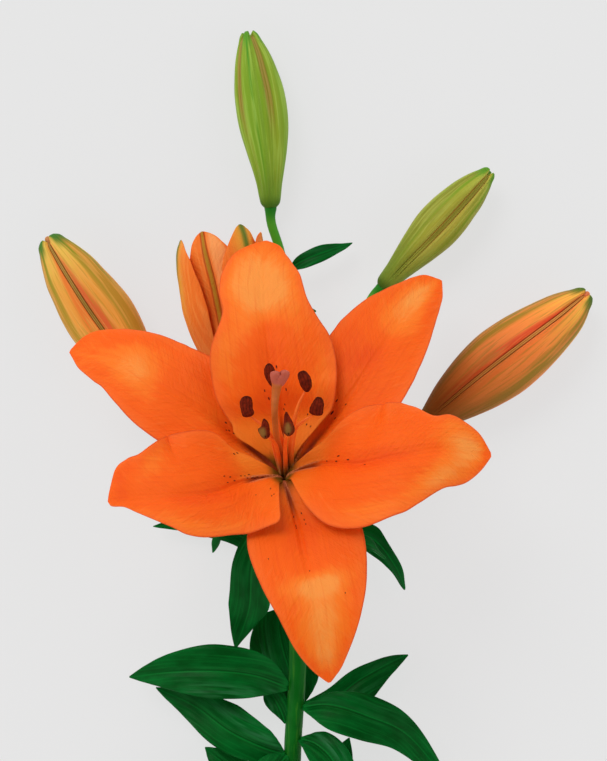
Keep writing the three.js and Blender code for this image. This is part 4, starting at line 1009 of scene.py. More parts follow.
# band is the half width of the keel band in mm where a tepal has one, green is how green the keel is.
openingPetals = {
    "opening_sepal_upper": {
        "turn": 252, "band": 1.0,
        "midrib": [(5.7, 0, 0.2), (6.2, 0, 18), (9.8, 0.9, 36), (12.3, 1, 53.6), (14.1, 0.6, 69), (13.9, -0.9, 82),
                   (10.9, -2.1, 90.2)],
        "left": [(0, 2.8), (0.2, 5), (0.4, 9), (0.6, 11), (0.7, 10.8), (0.79, 9.2), (0.85, 7.3), (0.92, 5.6),
                 (0.975, 3), (1, 0.8)],
        "right": [(0, 2.8), (0.2, 5), (0.4, 9.5), (0.6, 12.5), (0.72, 12.3), (0.82, 10), (0.88, 7.8), (0.93, 6),
                  (0.97, 3.6), (1, 0.9)],
        **furledSepal,
    },
    "opening_sepal_right": {
        "turn": 2, "green": 0.5,
        "midrib": [(5.7, 0, 0.2), (6.8, 0, 18), (10, -0.5, 36), (14, -1.5, 54), (17, -1.9, 70), (18, -2, 80),
                   (18.8, -1.9, 87)],
        "left": blunt, "right": blunt, **furledSepal,
    },
    "opening_sepal_lower": {
        "turn": 132, "green": 0.5,
        "midrib": [(5.7, 0, 0.2), (7.2, 0, 18), (10.3, 0, 36), (14.5, 0, 52), (16.8, 0, 66), (16, 0, 74),
                   (13.5, 0, 80)],
        "left": hidden, "right": hidden, **furledSepal,
    },
    "opening_petal_left": {
        "turn": 192, "green": 0.9,
        "midrib": [(4.2, 0, 0.2), (6, 0, 18), (12, 0, 36), (17.2, 0, 54.4), (17.8, 0, 70.5), (17.2, -0.5, 81.5),
                   (14.9, -1, 88.5)],
        "left": [(0, 2.2), (0.2, 4.8), (0.5, 11), (0.7, 12), (0.85, 8.5), (0.95, 4.2), (1, 0.7)],
        "right": [(0, 2.2), (0.2, 4.8), (0.35, 10), (0.5, 15.4), (0.6, 15.2), (0.7, 13), (0.8, 10.5), (0.9, 6.6),
                  (0.96, 3.8), (1, 0.7)],
        **furledPetal,
    },
    "opening_petal_upper": {
        "turn": 312, "green": 1.0,
        "midrib": [(4.2, 0, 0.2), (5.2, 0, 18), (10, -1, 36), (14.8, -1, 54), (17.7, -0.3, 70), (16.7, 1, 82.5),
                   (14.1, 1.9, 91)],
        "left": [(0, 2.2), (0.2, 4.6), (0.5, 10.5), (0.7, 12), (0.76, 10.8), (0.83, 8.4), (0.92, 5), (0.975, 2.6),
                 (1, 0.8)],
        "right": [(0, 2.2), (0.2, 4.6), (0.5, 10), (0.7, 10.5), (0.8, 8.5), (0.88, 6.3), (0.94, 4.8), (0.98, 2.2),
                  (1, 0.6)],
        **furledPetal,
    },
    "opening_petal_lower": {
        "turn": 72, "green": 0.5,
        "midrib": [(4.2, 0, 0.2), (5.2, 0, 18), (8.5, 0, 36), (12, 0, 52), (14.5, 0, 66), (14, 0, 74), (11.5, 0, 80)],
        "left": hidden, "right": hidden, **furledPetal,
    },
}


furledRelief = {
    "crinkle": 0.15,  # mm, soft puckers
    "innerRibs": 0.05,
    "ribs": 0.07,
    "band": 0.3,  # mm, height of the keel band
    "bandGroove": 0.45,
    "midline": 0.12,
    "keel": 0.45,  # mm, where there is no band
}


# Relief and colour attributes of a furled tepal; the keel band narrows to its tip, with a groove on either side.
def furledFormulas(shape):
    r = furledRelief

    def formulas(u, v, s, l):
        both = r["crinkle"] * ripple(s, l, 0.04, 77) * fade(u, 0.1, 0.3)
        inner = r["innerRibs"] * np.cos(2 * math.pi * s / 1.9)
        outer = r["ribs"] * np.cos(2 * math.pi * s / 1.7)
        values = {"palenessAndHighlight": 0.2, "claw": 1 - fade(u, 0.1, 0.4)}
        if "band" in shape:
            share = np.abs(s) / (shape["band"] * (1 - 0.35 * fade(u, 0.7, 1.0)))
            outer = (outer + r["band"] * (1 - fade(share, 0.75, 1.0)) - r["bandGroove"] * bump(share, 1.2, 0.25)
                     - r["midline"] * bump(s, 0, 0.25))
            values["backRib"] = 0.9 * (1 - fade(share, 0.7, 1.0))
            values["keelEdge"] = 0.9 * bump(share, 1.15, 0.35)
            values["flush"] = fade(s, 0.5, 4) * fade(u, 0.3, 0.7) * (1 - fade(v, 0.75, 1))
        else:
            outer = outer + r["keel"] * bump(s, 0, 1.5) * (1 - fade(u, 0.9, 1))
            values["greenRib"] = 0.9 * shape["green"] * bump(s, 0, 1.9) * fade(u, 0.5, 0.85)
            values["golden"] = 0.85 * shape["green"] * bump(s, 0, 6.5) * fade(u, 0.25, 0.7)
        return both, inner, outer, values

    return formulas


for name, shape in openingPetals.items():
    makeBlade(name.replace("opening", "furled"), shape, (90, 45), flowerPlace(opening, shape["turn"]),
              furledFormulas(shape), name, shape["slot"], petalSkin)


def openingStamenBodies():
    def body(points, radius, sides, stations, lobes=0.0):
        return (points, lambda u, a: along(radius, u) * (1 + lobes * fade(u, 0.93, 1) * np.cos(3 * a)), sides,
                np.linspace(0, 1, stations), (1, 0, 0))

    bodies = [body([(0, 0, 1), (0, 0, 2.4)], [(0, 3.2), (1, 3.2)], 24, 4),
              body([(0, 0, 1.6), (0, 0, 30), (0, 0, 62)], [(0, 1.6), (0.25, 1.3), (0.9, 1.1), (1, 2)], 24, 40, 0.2)]
    for k in range(6):
        c, s = math.cos(k * math.pi / 3), math.sin(k * math.pi / 3)
        thread, anther = ([(c * out, s * out, up) for out, up in ends]
                          for ends in (((2.5, 1.6), (3.4, 26), (5, 48)), ((5, 46), (5.3, 51), (5.4, 56))))
        bodies += [body(thread, [(0, 0.5), (1, 0.45)], 10, 24),
                   body(anther, [(0, 0.5), (0.3, 1.5), (0.8, 1.4), (1, 0.4)], 16, 20)]
    return bodies


makeRound("furled_stamens", openingStamenBodies(), flowerPlace(opening), "opening_stamens", "filament", filamentSkin,
          lambda u, a: {"foot": 0.3 * (1 - fade(u, 0, 0.3))})
print("half-open bloom made")

# Buds

# strips are the directions of the three keel strips in degrees, 0 straight up, more to the right of the way to
# the tip; girth is half the width seen from above and depth half the height, both in mm.
buds = {
    "bud_top": {
        "points": [(-14, 73.5, 8.1), (-15.2, 93.5, 9.4), (-17.8, 114.5, 9.96), (-20.8, 133.2, 9.45),
                   (-23.4, 147, 8.8)],
        "girth": [(0, 2.6), (0.02, 3.9), (0.06, 4.6), (0.12, 5.3), (0.2, 6.6), (0.3, 8.5), (0.4, 10), (0.5, 10.6),
                  (0.6, 10.3), (0.7, 9.1), (0.8, 7.6), (0.88, 6.1), (0.94, 4.8), (0.975, 3.8), (1, 2.5)],
        "depth": [(0, 3), (0.12, 6), (0.3, 8.8), (0.5, 9.9), (0.72, 8.5), (0.88, 5.8), (0.97, 3.3), (1, 1.6)],
        "strips": (23, 163, 305),
        "stripWidth": 1.5,
        "keel": -0.35,
        "nub": 0,
        "stalk": [(-5.4, -60, 16.5), (-5, -21, 13), (-6, 17, 9.5), (-9, 50, 7.6)],
        "slot": "bud_green",
        "finish": {
            "near": (0.238, 0.352, 0.0252), "nearRight": (0.270, 0.361, 0.0273), "cheek": (0.238, 0.352, 0.0252),
            "far": (0.202, 0.352, 0.0212), "rim": (0.195, 0.342, 0.0212),
            "band": (0.0612, 0.270, 0.0176), "bandAt": 60.0, "nearFoot": 30.0, "nearTip": 22.0,
            "vein": (0.413, 0.591, 0.0976), "foot": (0.150, 0.283, 0.0232), "footEnd": 0.25,
            "collar": (0.0452, 0.141, 0.0097), "tip": (0.102, 0.305, 0.0212), "tipFrom": 0.84, "stripFrom": 0.3,
            "strip": (0.283, 0.162, 0.0232), "stripLight": (0.392, 0.262, 0.0648), "stripAmount": 0.85,
            "seam": (0.156, 0.141, 0.0116), "seamAmount": 0.4, "nub": (0.262, 0.156, 0.0319),
        },
    },
    "bud_upper_right": {
        "points": [(33.2, 39.3, 11), (46.4, 54, 12), (61.3, 70.2, 12), (71.6, 81, 11.5), (78.6, 88.1, 11)],
        "girth": [(0, 2.6), (0.02, 3.8), (0.06, 4.4), (0.12, 5), (0.2, 6.3), (0.3, 8.1), (0.4, 9.5), (0.5, 9.4),
                  (0.6, 8.5), (0.7, 7.5), (0.8, 6.1), (0.88, 4.9), (0.94, 3.9), (0.975, 3.2), (1, 2.1)],
        "depth": [(0, 3), (0.12, 5.4), (0.3, 8), (0.5, 8.9), (0.72, 7.6), (0.88, 4.8), (0.97, 2.6), (1, 1.4)],
        "strips": (12, 132, 252),
        "stripWidth": 1.0,
        "keel": 0.22,
        "nub": 0,
        "stalk": [(-5.2, -64, 16), (6, -21, 14), (17.5, 13, 11)],
        "slot": "bud_yellow",
        "finish": {
            "near": (0.352, 0.314, 0.0343), "nearRight": (0.479, 0.402, 0.0545), "cheek": (0.402, 0.434, 0.0513),
            "far": (0.352, 0.352, 0.0343), "rim": (0.231, 0.246, 0.0232),
            "band": (0.181, 0.314, 0.016), "bandAt": 42.0, "nearFoot": 24.0, "nearTip": 16.0,
            "vein": (0.468, 0.479, 0.0887), "foot": (0.162, 0.254, 0.0273), "footEnd": 0.42,
            "collar": (0.0262, 0.0844, 0.0052), "tip": (0.107, 0.287, 0.0194), "tipFrom": 0.8, "stripFrom": 0.12,
            "strip": (0.162, 0.162, 0.0144), "stripLight": (0.216, 0.216, 0.0232), "stripAmount": 0.85,
            "seam": (0.392, 0.162, 0.0252), "seamAmount": 0.75, "nub": (0.262, 0.156, 0.0319),
        },
    },
    "bud_right": {
        "points": [(51.4, -17.9, 11.3), (70.3, -2.9, 12.9), (91.5, 13.5, 13.43), (108.4, 26.6, 12.7),
                   (119.6, 36.2, 11.7)],
        "girth": [(0, 4), (0.12, 8.7), (0.2, 11.1), (0.3, 13.6), (0.4, 15), (0.5, 14.5), (0.6, 13.1), (0.7, 11.4),
                  (0.8, 9.5), (0.88, 7.5), (0.94, 5.7), (0.975, 4.5), (1, 3)],
        "depth": [(0, 3.4), (0.12, 7), (0.3, 11.2), (0.5, 13.3), (0.7, 12.3), (0.86, 8.4), (0.96, 4.4), (1, 2)],
        "strips": (-7, 113, 233),
        "stripWidth": 0.78,
        "keel": 0.28,
        "nub": 1.5,
        "stalk": [(-4.4, -72, 15.5), (13.5, -44, 13), (34, -30, 11)],
        "slot": "bud_orange",
        "finish": {
            "near": (0.761, 0.0802, 0.0232), "nearRight": (0.905, 0.195, 0.0395), "cheek": (0.956, 0.468, 0.0648),
            "far": (0.922, 0.246, 0.0482), "rim": (0.371, 0.202, 0.0232),
            "band": (0.305, 0.216, 0.0194), "bandAt": 50.0, "nearFoot": 20.0, "nearTip": 10.0,
            "vein": (0.956, 0.262, 0.0648), "foot": (0.181, 0.0578, 0.006), "footEnd": 0.62,
            "collar": (0.102, 0.0908, 0.006), "tip": (0.0887, 0.162, 0.016), "tipFrom": 0.86, "stripFrom": -0.4,
            "strip": (0.342, 0.150, 0.0194), "stripLight": (0.672, 0.305, 0.0723), "stripAmount": 0.85,
            "seam": (0.209, 0.0452, 0.0052), "seamAmount": 0.8, "nub": (0.761, 0.223, 0.0887),
        },
    },
    "bud_left": {
        "points": [(-61.9, -9.6, 10.3), (-76.2, 12.7, 12.2), (-90.5, 33.5, 12.6), (-100.2, 48, 11.8), (-108, 59.4, 11)],
        "girth": [(0, 3.8), (0.12, 8.2), (0.2, 10.8), (0.3, 13.4), (0.4, 14.7), (0.5, 14), (0.6, 12.7), (0.7, 11.5),
                  (0.8, 9.6), (0.88, 7.9), (0.94, 6.5), (0.975, 5.4), (1, 3.4)],
        "depth": [(0, 3.4), (0.12, 7), (0.3, 11.2), (0.5, 12.6), (0.7, 11.4), (0.86, 7.8), (0.96, 4.6), (1, 2.2)],
        "strips": (-7, 113, 233),
        "stripWidth": 0.78,
        "keel": 0.28,
        "nub": 1.5,
        "stalk": [(-3.8, -78, 15.5), (-24, -50, 13.5), (-46, -28, 11)],
        "slot": "bud_orange",
        "finish": {
            "near": (0.823, 0.202, 0.0343), "nearRight": (0.716, 0.138, 0.0369), "cheek": (0.730, 0.479, 0.0762),
            "far": (0.839, 0.342, 0.0545), "rim": (0.515, 0.262, 0.0273),
            "band": (0.238, 0.246, 0.013), "bandAt": 44.0, "nearFoot": 24.0, "nearTip": 9.0,
            "vein": (0.871, 0.402, 0.0887), "foot": (0.392, 0.162, 0.0176), "footEnd": 0.3,
            "collar": (0.114, 0.114, 0.0097), "tip": (0.0545, 0.181, 0.0212), "tipFrom": 0.84, "stripFrom": -0.4,
            "strip": (0.195, 0.127, 0.0144), "stripLight": (0.402, 0.254, 0.0545), "stripAmount": 0.9,
            "seam": (0.127, 0.0423, 0.0052), "seamAmount": 0.85, "nub": (0.578, 0.246, 0.0887),
        },
    },
}


budRelief = {
    "strip": 0.42,  # mm, depth of the grooves beside a keel strip
    "line": 0.1,  # mm, along the strip's middle
    "ribs": 0.05,
    "pucker": 0.1,
    "valley": 0.45,  # mm, around each strip
    "hood": 2.4,  # mm by which the three tips stand out past the hollow between them
    "tipSunk": 1.2,  # mm, the hollow between the tips
}


# Where an angle lies among the strips: degrees from the nearest one, its share of the way to the middle between
# two strips, as 0 to 60, and whether it is on the right of the nearest one.
def amongStrips(strips, angle):
    edges = np.sort(np.array(strips, float) % 360)
    turned = np.degrees(angle) % 360
    k = np.searchsorted(edges, turned, side="right") - 1
    low = np.where(k < 0, edges[-1] - 360, edges[k])
    high = np.where(k == len(edges) - 1, edges[0] + 360, edges[(k + 1) % len(edges)])
    share = (turned - low) / (high - low)
    return np.minimum(turned - low, high - turned), 60 * (1 - np.abs(2 * share - 1)), share < 0.5


# Angles of a bud's rings: every 5 degrees, and closer beside the strips.
def budAngles(strips):
    near = np.array([0, 1, 2, 3, 3.6, 4.2, 4.8, 5.6, 6.6, 7.8, 9.2, 11, 13.5, 17, 21])
    angles = np.concatenate([strip + side * near for strip in strips for side in (1, -1)] + [np.arange(0, 360, 5)])
    away = amongStrips(strips, np.radians(angles))[0]
    kept = (away > 23) | (np.arange(len(angles)) < 2 * len(strips) * len(near))
    return np.radians(np.unique(np.round(np.where(kept, angles, strips[0]) % 360, 3)))


def makeBud(name, bud, order):
    r = budRelief

    # The strip's half width tapers to both ends.
    def stripShare(u, away):
        width = bud["stripWidth"] * (0.45 + 0.55 * np.sin(np.clip(u, 0.02, 0.98) * math.pi) ** 0.6)
        return np.radians(away) * along(bud["girth"], u) / width

    def radiusAt(u, a):
        away, turned, _ = amongStrips(bud["strips"], a)
        share = stripShare(u, away)
        level = fade(u, 0.03, 0.15) * (1 - 0.6 * fade(u, 0.94, 1.0))
        keel = bud["keel"] * (1 - fade(share, 0.72, 1.0)) - r["strip"] * bump(share, 1.15, 0.28)
        line = -r["line"] * bump(share, 0, 0.22)
        ribs = r["ribs"] * np.cos(np.radians(turned) * 34) * fade(turned, 7, 12)
        pucker = r["pucker"] * ripple(u * 60, turned * 0.35, 0.03, 31 + order)
        valley = r["valley"] * bump(away, 0, 9)
        full = along(bud["girth"], u) * (1 + 0.03 * fade(turned, 12, 58))
        return full + level * (keel + line + ribs + pucker - valley)

    quarter = math.pi / 2
    stations = np.concatenate([0.012 * (1 - np.cos(np.linspace(0, 1, 6) * quarter))[:-1],
                               np.linspace(0.012, 0.97, 100)[:-1],
                               0.97 + 0.03 * np.sin(np.linspace(0, 1, 14) * quarter)])
    grid, uu, aa = roundGrid(bud["points"], radiusAt, budAngles(bud["strips"]), stations, (0, 0, 1))
    middle, ahead = curveAt(bud["points"], stations)
    flatter = (along(bud["depth"], stations) / along(bud["girth"], stations))[:, None]
    grid[..., 2] = np.maximum(middle[:, None, 2] + (grid[..., 2] - middle[:, None, 2]) * flatter, 0.03)
    away, turned, onRight = amongStrips(bud["strips"], aa)
    hood = r["hood"] * (fade(turned, 6, 30) - 0.55) * fade(uu, 0.93, 1.0)
    grids = [grid + ahead[:, None] * hood[..., None]]
    if bud["nub"]:
        def nubRadius(u, a):
            lumps = 0.12 * np.sin(5 * a + 9 * u) * np.sin(7 * u * math.pi)
            return bud["nub"] * np.sqrt(np.maximum(1 - (2 * u - 1) ** 2, 0.002)) * (1 + lumps)

        ends = [tuple(middle[-1] + ahead[-1] * reach) for reach in (-2.6, -0.3, 1.8)]
        grids.append(roundGrid(ends, nubRadius, evenAngles(26), easedStations(24, 0.02, 0.98), (0, 0, 1))[0])
    points, quads, fans = closedBodies(grids)
    own = grid[..., 0].size + 2
    points[own - 1] -= ahead[-1] * r["tipSunk"]
    length = pathLength(middle)
    uv = np.stack([aa * 10, np.broadcast_to(length[:, None], aa.shape)], -1).reshape(-1, 2)
    uv = np.vstack([uv, [[0, 0], [0, length[-1]]], points[own:, :2]])
    facts = {"turned": (turned, 30, 30), "stripShare": (stripShare(uu, away), 9, 9), "lengthwise": (uu, 0, 1),
             "rightSide": (onRight * 1.0, 0, 0)}
    rest = np.full(len(points) - own, 9.0)
    facts = {key: np.concatenate([value.ravel(), [foot, tip], rest]) for key, (value, foot, tip) in facts.items()}
    facts["nub"] = (np.arange(len(points)) >= own) * 1.0
    makePiece(name.replace("bud", "closed_bud"), points, quads, fans, facts, uv, name, bud["slot"],
              budMaterial("budSkin" + name[3:].title().replace("_", ""), bud["finish"]))


for order, (name, bud) in enumerate(buds.items()):
    makeBud(name, bud, order)
print("buds made")

# Stem and stalks

stemShape = {
    "foot": -330,
    "head": -52,
    "slant": 35,
    "x": [(-330, -6), (-264, -6.5), (-203, -6), (-154, -4.5), (-120, -2.5), (-92, -3), (-52, -5.5)],
    "z": [(-330, 3.53), (-320, 3.53), (-310, 3.53), (-300, 3.7), (-264, 5.5), (-203, 8), (-154, 11),
          (-120, 14), (-92, 15.5), (-52, 17)],
    "scars": 14,  # rows of leaf scars on the bare foot
    "scarsFrom": -326,
    "scarPitch": 4.6,
    "bareTo": -262,  # where the leaves begin
    "voxel": 0.62,  # mm, fineness of the skin that joins the stalks to the stem
}


def makeStem():
    shape = stemShape
    foot, head = shape["foot"], shape["head"]
    u = np.linspace(0, 1, 90)
    y = foot + (head - foot) * u
    centre = np.stack([along(shape["x"], y), y, along(shape["z"], y)], -1)
    grid = roundGrid(centre, lambda u, a: along([(0, 3.6), (0.8, 3.7), (1, 3.4)], u)
                     * (1 + 0.012 * np.cos(5 * a + 2 * u)), evenAngles(40), u, (0, 0, -1))[0]
    grid[0, :, 1] -= (grid[0, :, 2] - shape["z"][0][1]) * math.tan(math.radians(shape["slant"]))
    # the next three rings keep clear of the slanting cut
    grid[1:4, :, 1] = np.maximum(grid[1:4, :, 1], grid[0, :, 1] + np.array([0.8, 1.6, 2.4])[:, None])
    bodies = [grid]
    girth = [(0, 2.4), (0.5, 2.1), (0.85, 2.1), (1, 2.8)]
    for bud in buds.values():
        start, ahead = curveAt(bud["points"], np.array([0.0]))
        ends = [tuple(start[0] - ahead[0] * gap) for gap in (7, -0.4)]
        bodies.append(roundGrid(bud["stalk"] + ends, lambda u, a: along(girth, u), evenAngles(20),
                                np.linspace(0, 1, 60), (0, 0, 1))[0])
    widening = [(0, 2.6), (0.6, 2.5), (0.8, 3.4), (1, whole["receptacleRadius"])]
    for flower, start in ((bloom, [(-4.4, -76, 15), (-4.6, -66, 23)]), (opening, [(-4.8, -68, 15.5), (-13, -52, 17)])):
        ends = [tuple(flowerPlace(flower)(np.array([0.0, 0.0, h]))) for h in (-10, 0.45)]
        bodies.append(roundGrid(start + ends, lambda u, a: along(widening, u), evenAngles(28),
                                np.linspace(0, 1, 50), (1, 0, 0))[0])
    rough = makePiece("stem_and_stalks", *closedBodies(bodies), {}, None, "stem", "stem", stemSkin)
    remesh = rough.modifiers.new("join", "REMESH")
    remesh.mode = "VOXEL"
    remesh.voxel_size = shape["voxel"] / 1000
    remesh.use_smooth_shade = True
    smooth = rough.modifiers.new("settle", "SMOOTH")
    smooth.factor = 0.5
    smooth.iterations = 3
    depsgraph = bpy.context.evaluated_depsgraph_get()
    joined = bpy.data.meshes.new_from_object(rough.evaluated_get(depsgraph))
    rough.modifiers.clear()
    old = rough.data
    rough.data = joined
    joined.name = "stem_and_stalks"
    bpy.data.meshes.remove(old)
    joined.materials.clear()
    joined.materials.append(stemSkin)
    points, normals = np.empty((2, len(joined.vertices) * 3), np.float32)
    joined.vertices.foreach_get("co", points)
    joined.vertices.foreach_get("normal", normals)
    points, normals = points.reshape(-1, 3) * 1000 - restCentre, normals.reshape(-1, 3)
    y = points[:, 1]
    turn = np.arctan2(points[:, 2] - along(shape["z"], y), points[:, 0] - along(shape["x"], y))
    rng = np.random.default_rng(5)
    scar = np.zeros(len(points))
    for k in range(shape["scars"]):
        row = shape["scarsFrom"] + shape["scarPitch"] * k + rng.uniform(-1, 1)
        away = np.abs((turn - 2.4 * k - rng.uniform(-0.3, 0.3) + math.pi) % (2 * math.pi) - math.pi)
        scar += bump(y - row + 0.9 * away**2, 0, 0.55) * (1 - fade(away, 0.55, 0.85)) * (y < shape["bareTo"])
    lift = 0.16 * scar + 0.04 * np.sin(turn * 18) * (y < -60)
    low = (points[:, 2] < 0.6) & (y < -300)
    points = points + normals * (lift * ~low)[:, None]
    points[:, 2] = np.maximum(points[:, 2], 0.0)
    joined.vertices.foreach_set("co", ((points + restCentre) / 1000).astype(np.float32).ravel())
    slope = math.tan(math.radians(shape["slant"]))
    nearCut = np.abs(y - foot + (points[:, 2] - 3.5) * slope) < 0.7
    collar = sum(bump(np.linalg.norm(points - np.array(bud["points"][0]), axis=1), 0, 5) for bud in buds.values())
    values = {
        "young": fade(y, -85, -25),
        "collar": np.clip(collar, 0, 0.9),
        "scar": np.clip(scar, 0, 1) * 0.7,
        "cutFace": nearCut & (normals[:, 1] < -0.5),
    }
    for key, value in values.items():
        data = joined.attributes.new(key, "FLOAT", "POINT").data
        data.foreach_set("value", value.astype(np.float32))
    joined.update()


makeStem()
print("stem made")

# Leaves and bracts

leafShape = {
    "outline": [(0, 0.14), (0.05, 0.3), (0.14, 0.6), (0.26, 0.87), (0.4, 0.99), (0.55, 0.98), (0.75, 0.67), (0.9, 0.32),
                (1, 0.03)],
    "full": [(0, 0.2), (0.15, 0.62), (0.35, 1), (0.6, 1), (0.8, 0.72), (0.92, 0.4), (1, 0.04)],
    "thickness": 0.75,
    "ribPitch": 2.3,
    "ribs": 0.1,
    "puckers": 0.25,
    "crease": 0.35,  # mm, the line along the upper face
    "keel": 0.45,
}
# half is half the greatest width; sides are the widths left and right of the midrib, where they aren't taken
# from half; the sheen value sets a painted whitish sheen, a painted highlight, and shine is where it lies across the
# blade.
leaves = {
    "leaf_left_large": {"foot": -129.5, "half": 11.4, "shine": 0.7, "midrib": [
        (-20.5, -123.8, 20), (-37, -121.8, 22), (-56, -122.6, 18), (-73.8, -125.6, 11)]},
    "leaf_left_lower": {"foot": -158, "shine": -0.5, "midrib": [
        (-18, -154.5, 14), (-32, -147.8, 13.5), (-46.8, -137.5, 9.5), (-62.8, -130.8, 5)], "sides": (
        [(0, 0.8), (0.12, 5), (0.25, 8.5), (0.5, 11.5), (0.62, 9.8), (0.75, 6), (0.9, 2.6), (1, 0.3)],
        [(0, 0.8), (0.12, 4.5), (0.25, 7.5), (0.5, 8.6), (0.75, 6.6), (0.9, 3.4), (1, 0.3)])},
    "leaf_left_bottom": {"foot": -158, "half": 8.5, "midrib": [
        (-14, -166, 20), (-22.5, -180, 26), (-30.5, -200, 25)]},
    "leaf_right_large": {"foot": -138, "bloomy": 0.2, "midrib": [
        (11.5, -136, 23), (27, -140.5, 24.5), (43.5, -149, 20), (61.5, -170.5, 12)], "sides": (
        [(0, 0.8), (0.08, 4), (0.25, 9.8), (0.5, 10.5), (0.75, 7.8), (0.9, 4.4), (1, 0.3)],
        [(0, 0.8), (0.1, 2.8), (0.25, 5.6), (0.38, 8), (0.5, 9.2), (0.62, 8.4), (0.75, 6), (0.9, 3.2), (1, 0.3)])},
    "leaf_right_back": {"foot": -137, "shine": -0.4, "midrib": [
        (13.5, -134, 11), (24, -126.7, 11), (34.7, -121, 9), (44.5, -116.8, 6)], "sides": (
        [(0, 0.8), (0.25, 8.5), (0.5, 9.6), (0.75, 4.8), (0.9, 2.2), (1, 0.3)],
        [(0, 0.8), (0.25, 4.8), (0.5, 5.3), (0.75, 3.7), (0.9, 2), (1, 0.3)])},
    "leaf_right_shiny": {"foot": -151.5, "half": 8, "bloomy": 0.6, "midrib": [
        (6, -153.5, 19), (13, -161, 21), (17.5, -176.5, 17), (19.5, -194.5, 11)]},
    "leaf_right_under": {"foot": -180, "half": 8, "midrib": [
        (8, -176.5, 10), (14.5, -163.5, 10), (19.5, -152, 6)]},
    "leaf_left_under": {"foot": -182, "half": 7, "midrib": [
        (-22, -172.5, 6), (-34.5, -162.5, 5), (-42, -156.5, 3)]},
    "leaf_hanging": {"foot": -90, "bloomy": 0.25, "shine": -0.3, "midrib": [
        (-15.5, -70, 21), (-21.5, -77, 24.5), (-23, -95.5, 18.5), (-28.9, -113.8, 9)], "sides": (
        [(0, 1), (0.12, 3), (0.25, 7), (0.35, 8.4), (0.5, 8.2), (0.65, 8.8), (0.75, 8.8), (0.82, 7.2), (0.9, 4.7),
         (0.96, 2.2), (1, 0.3)],
        [(0, 1), (0.12, 3), (0.25, 6), (0.5, 9), (0.7, 9.4), (0.75, 8.2), (0.8, 5.8), (0.86, 4), (0.93, 2), (1, 0.3)])},
    "leaf_behind": {"start": (-3.5, -139, 7.8), "half": 14, "outline": "full", "midrib": [
        (-4.5, -128, 4.6), (-8.3, -116, 2.6), (-10.3, -105.5, 2.2), (-9.5, -97, 2.5)]},
    "leaf_short": {"foot": -145, "bloomy": 1.0, "midrib": [(-9.7, -138.7, 13), (-15, -129.7, 10.5)], "sides": [
        [(0, 0.7), (0.25, 2.2), (0.5, 3.8), (0.75, 4.8), (0.92, 3.4), (1, 0.3)]] * 2},
    "leaf_crown_left": {"foot": -83, "half": 5, "midrib": [(-26.5, -66, 9), (-46, -61, 8), (-64, -62, 7)]},
    "leaf_crown_left_small": {"foot": -88, "midrib": [
        (-18, -65.5, 14.5), (-33, -61.5, 16.5), (-38.3, -72.7, 15)], "sides": [
        [(0, 1), (0.4, 2.6), (0.75, 2.6), (0.88, 2.6), (0.95, 1.5), (1, 0.2)]] * 2},
    "leaf_crown_right": {"foot": -84, "bloomy": 0.5, "shine": -0.4, "midrib": [
        (13.5, -66, 13), (28, -66.5, 13), (38.5, -78.5, 10), (43, -89, 6)], "sides": (
        [(0, 1.5), (0.25, 5), (0.5, 5.6), (0.58, 5.5), (0.68, 3.8), (0.75, 3), (0.88, 2.4), (1, 0.4)],
        [(0, 1.5), (0.25, 5), (0.5, 5.6), (0.6, 3.4), (0.75, 2.8), (0.88, 2.3), (1, 0.4)])},
    "leaf_crown_right_small": {"foot": -92, "half": 4.5, "midrib": [
        (9, -78, 22), (24.5, -68.5, 24), (34.5, -75, 18)]},
    "bract_upper": {"start": (-6.3, 47, 9.4), "half": 3.5, "midrib": [
        (1.2, 51.2, 12), (10.8, 54.9, 11), (20.9, 58.6, 6)]},
    "bract_lower": {"start": (-3.9, 20, 11.5), "half": 2.8, "midrib": [(-0.6, 29.5, 13.5), (5.3, 29.2, 12)]},
}
# Below them more leaves spread to the two sides in turn, on two levels.
for k in range(8):
    side, raised = (1 if k % 2 else -1), (1 if k % 4 < 2 else 0)
    foot, length = -195 - 7.5 * k, 80 - 1.5 * k
    slope = 0.2 + 0.15 * math.sin(2.3 * k)
    rise = [(0.25, 8 + 9 * raised), (0.5, 7 + 10 * raised), (0.76, 5 + 8 * raised), (1, 3 + 4 * raised)]
    startX = float(along(stemShape["x"], foot))
    leaves[f"leaf_low_{k + 1}"] = {"foot": foot, "half": 9.5 - 0.2 * k, "midrib": [
        (startX + side * length * share, foot + slope * length * share, z) for share, z in rise]}


# A leaf's foot is let into the stem's skin, on the side that the leaf leaves it.
def leafFoot(y, towards):
    centre = np.array([along(stemShape["x"], y), y, along(stemShape["z"], y)])
    out = np.array(towards, float) - centre
    out[1] = 0
    return tuple(centre + unit(out) * (whole["stemRadius"] - 0.2))


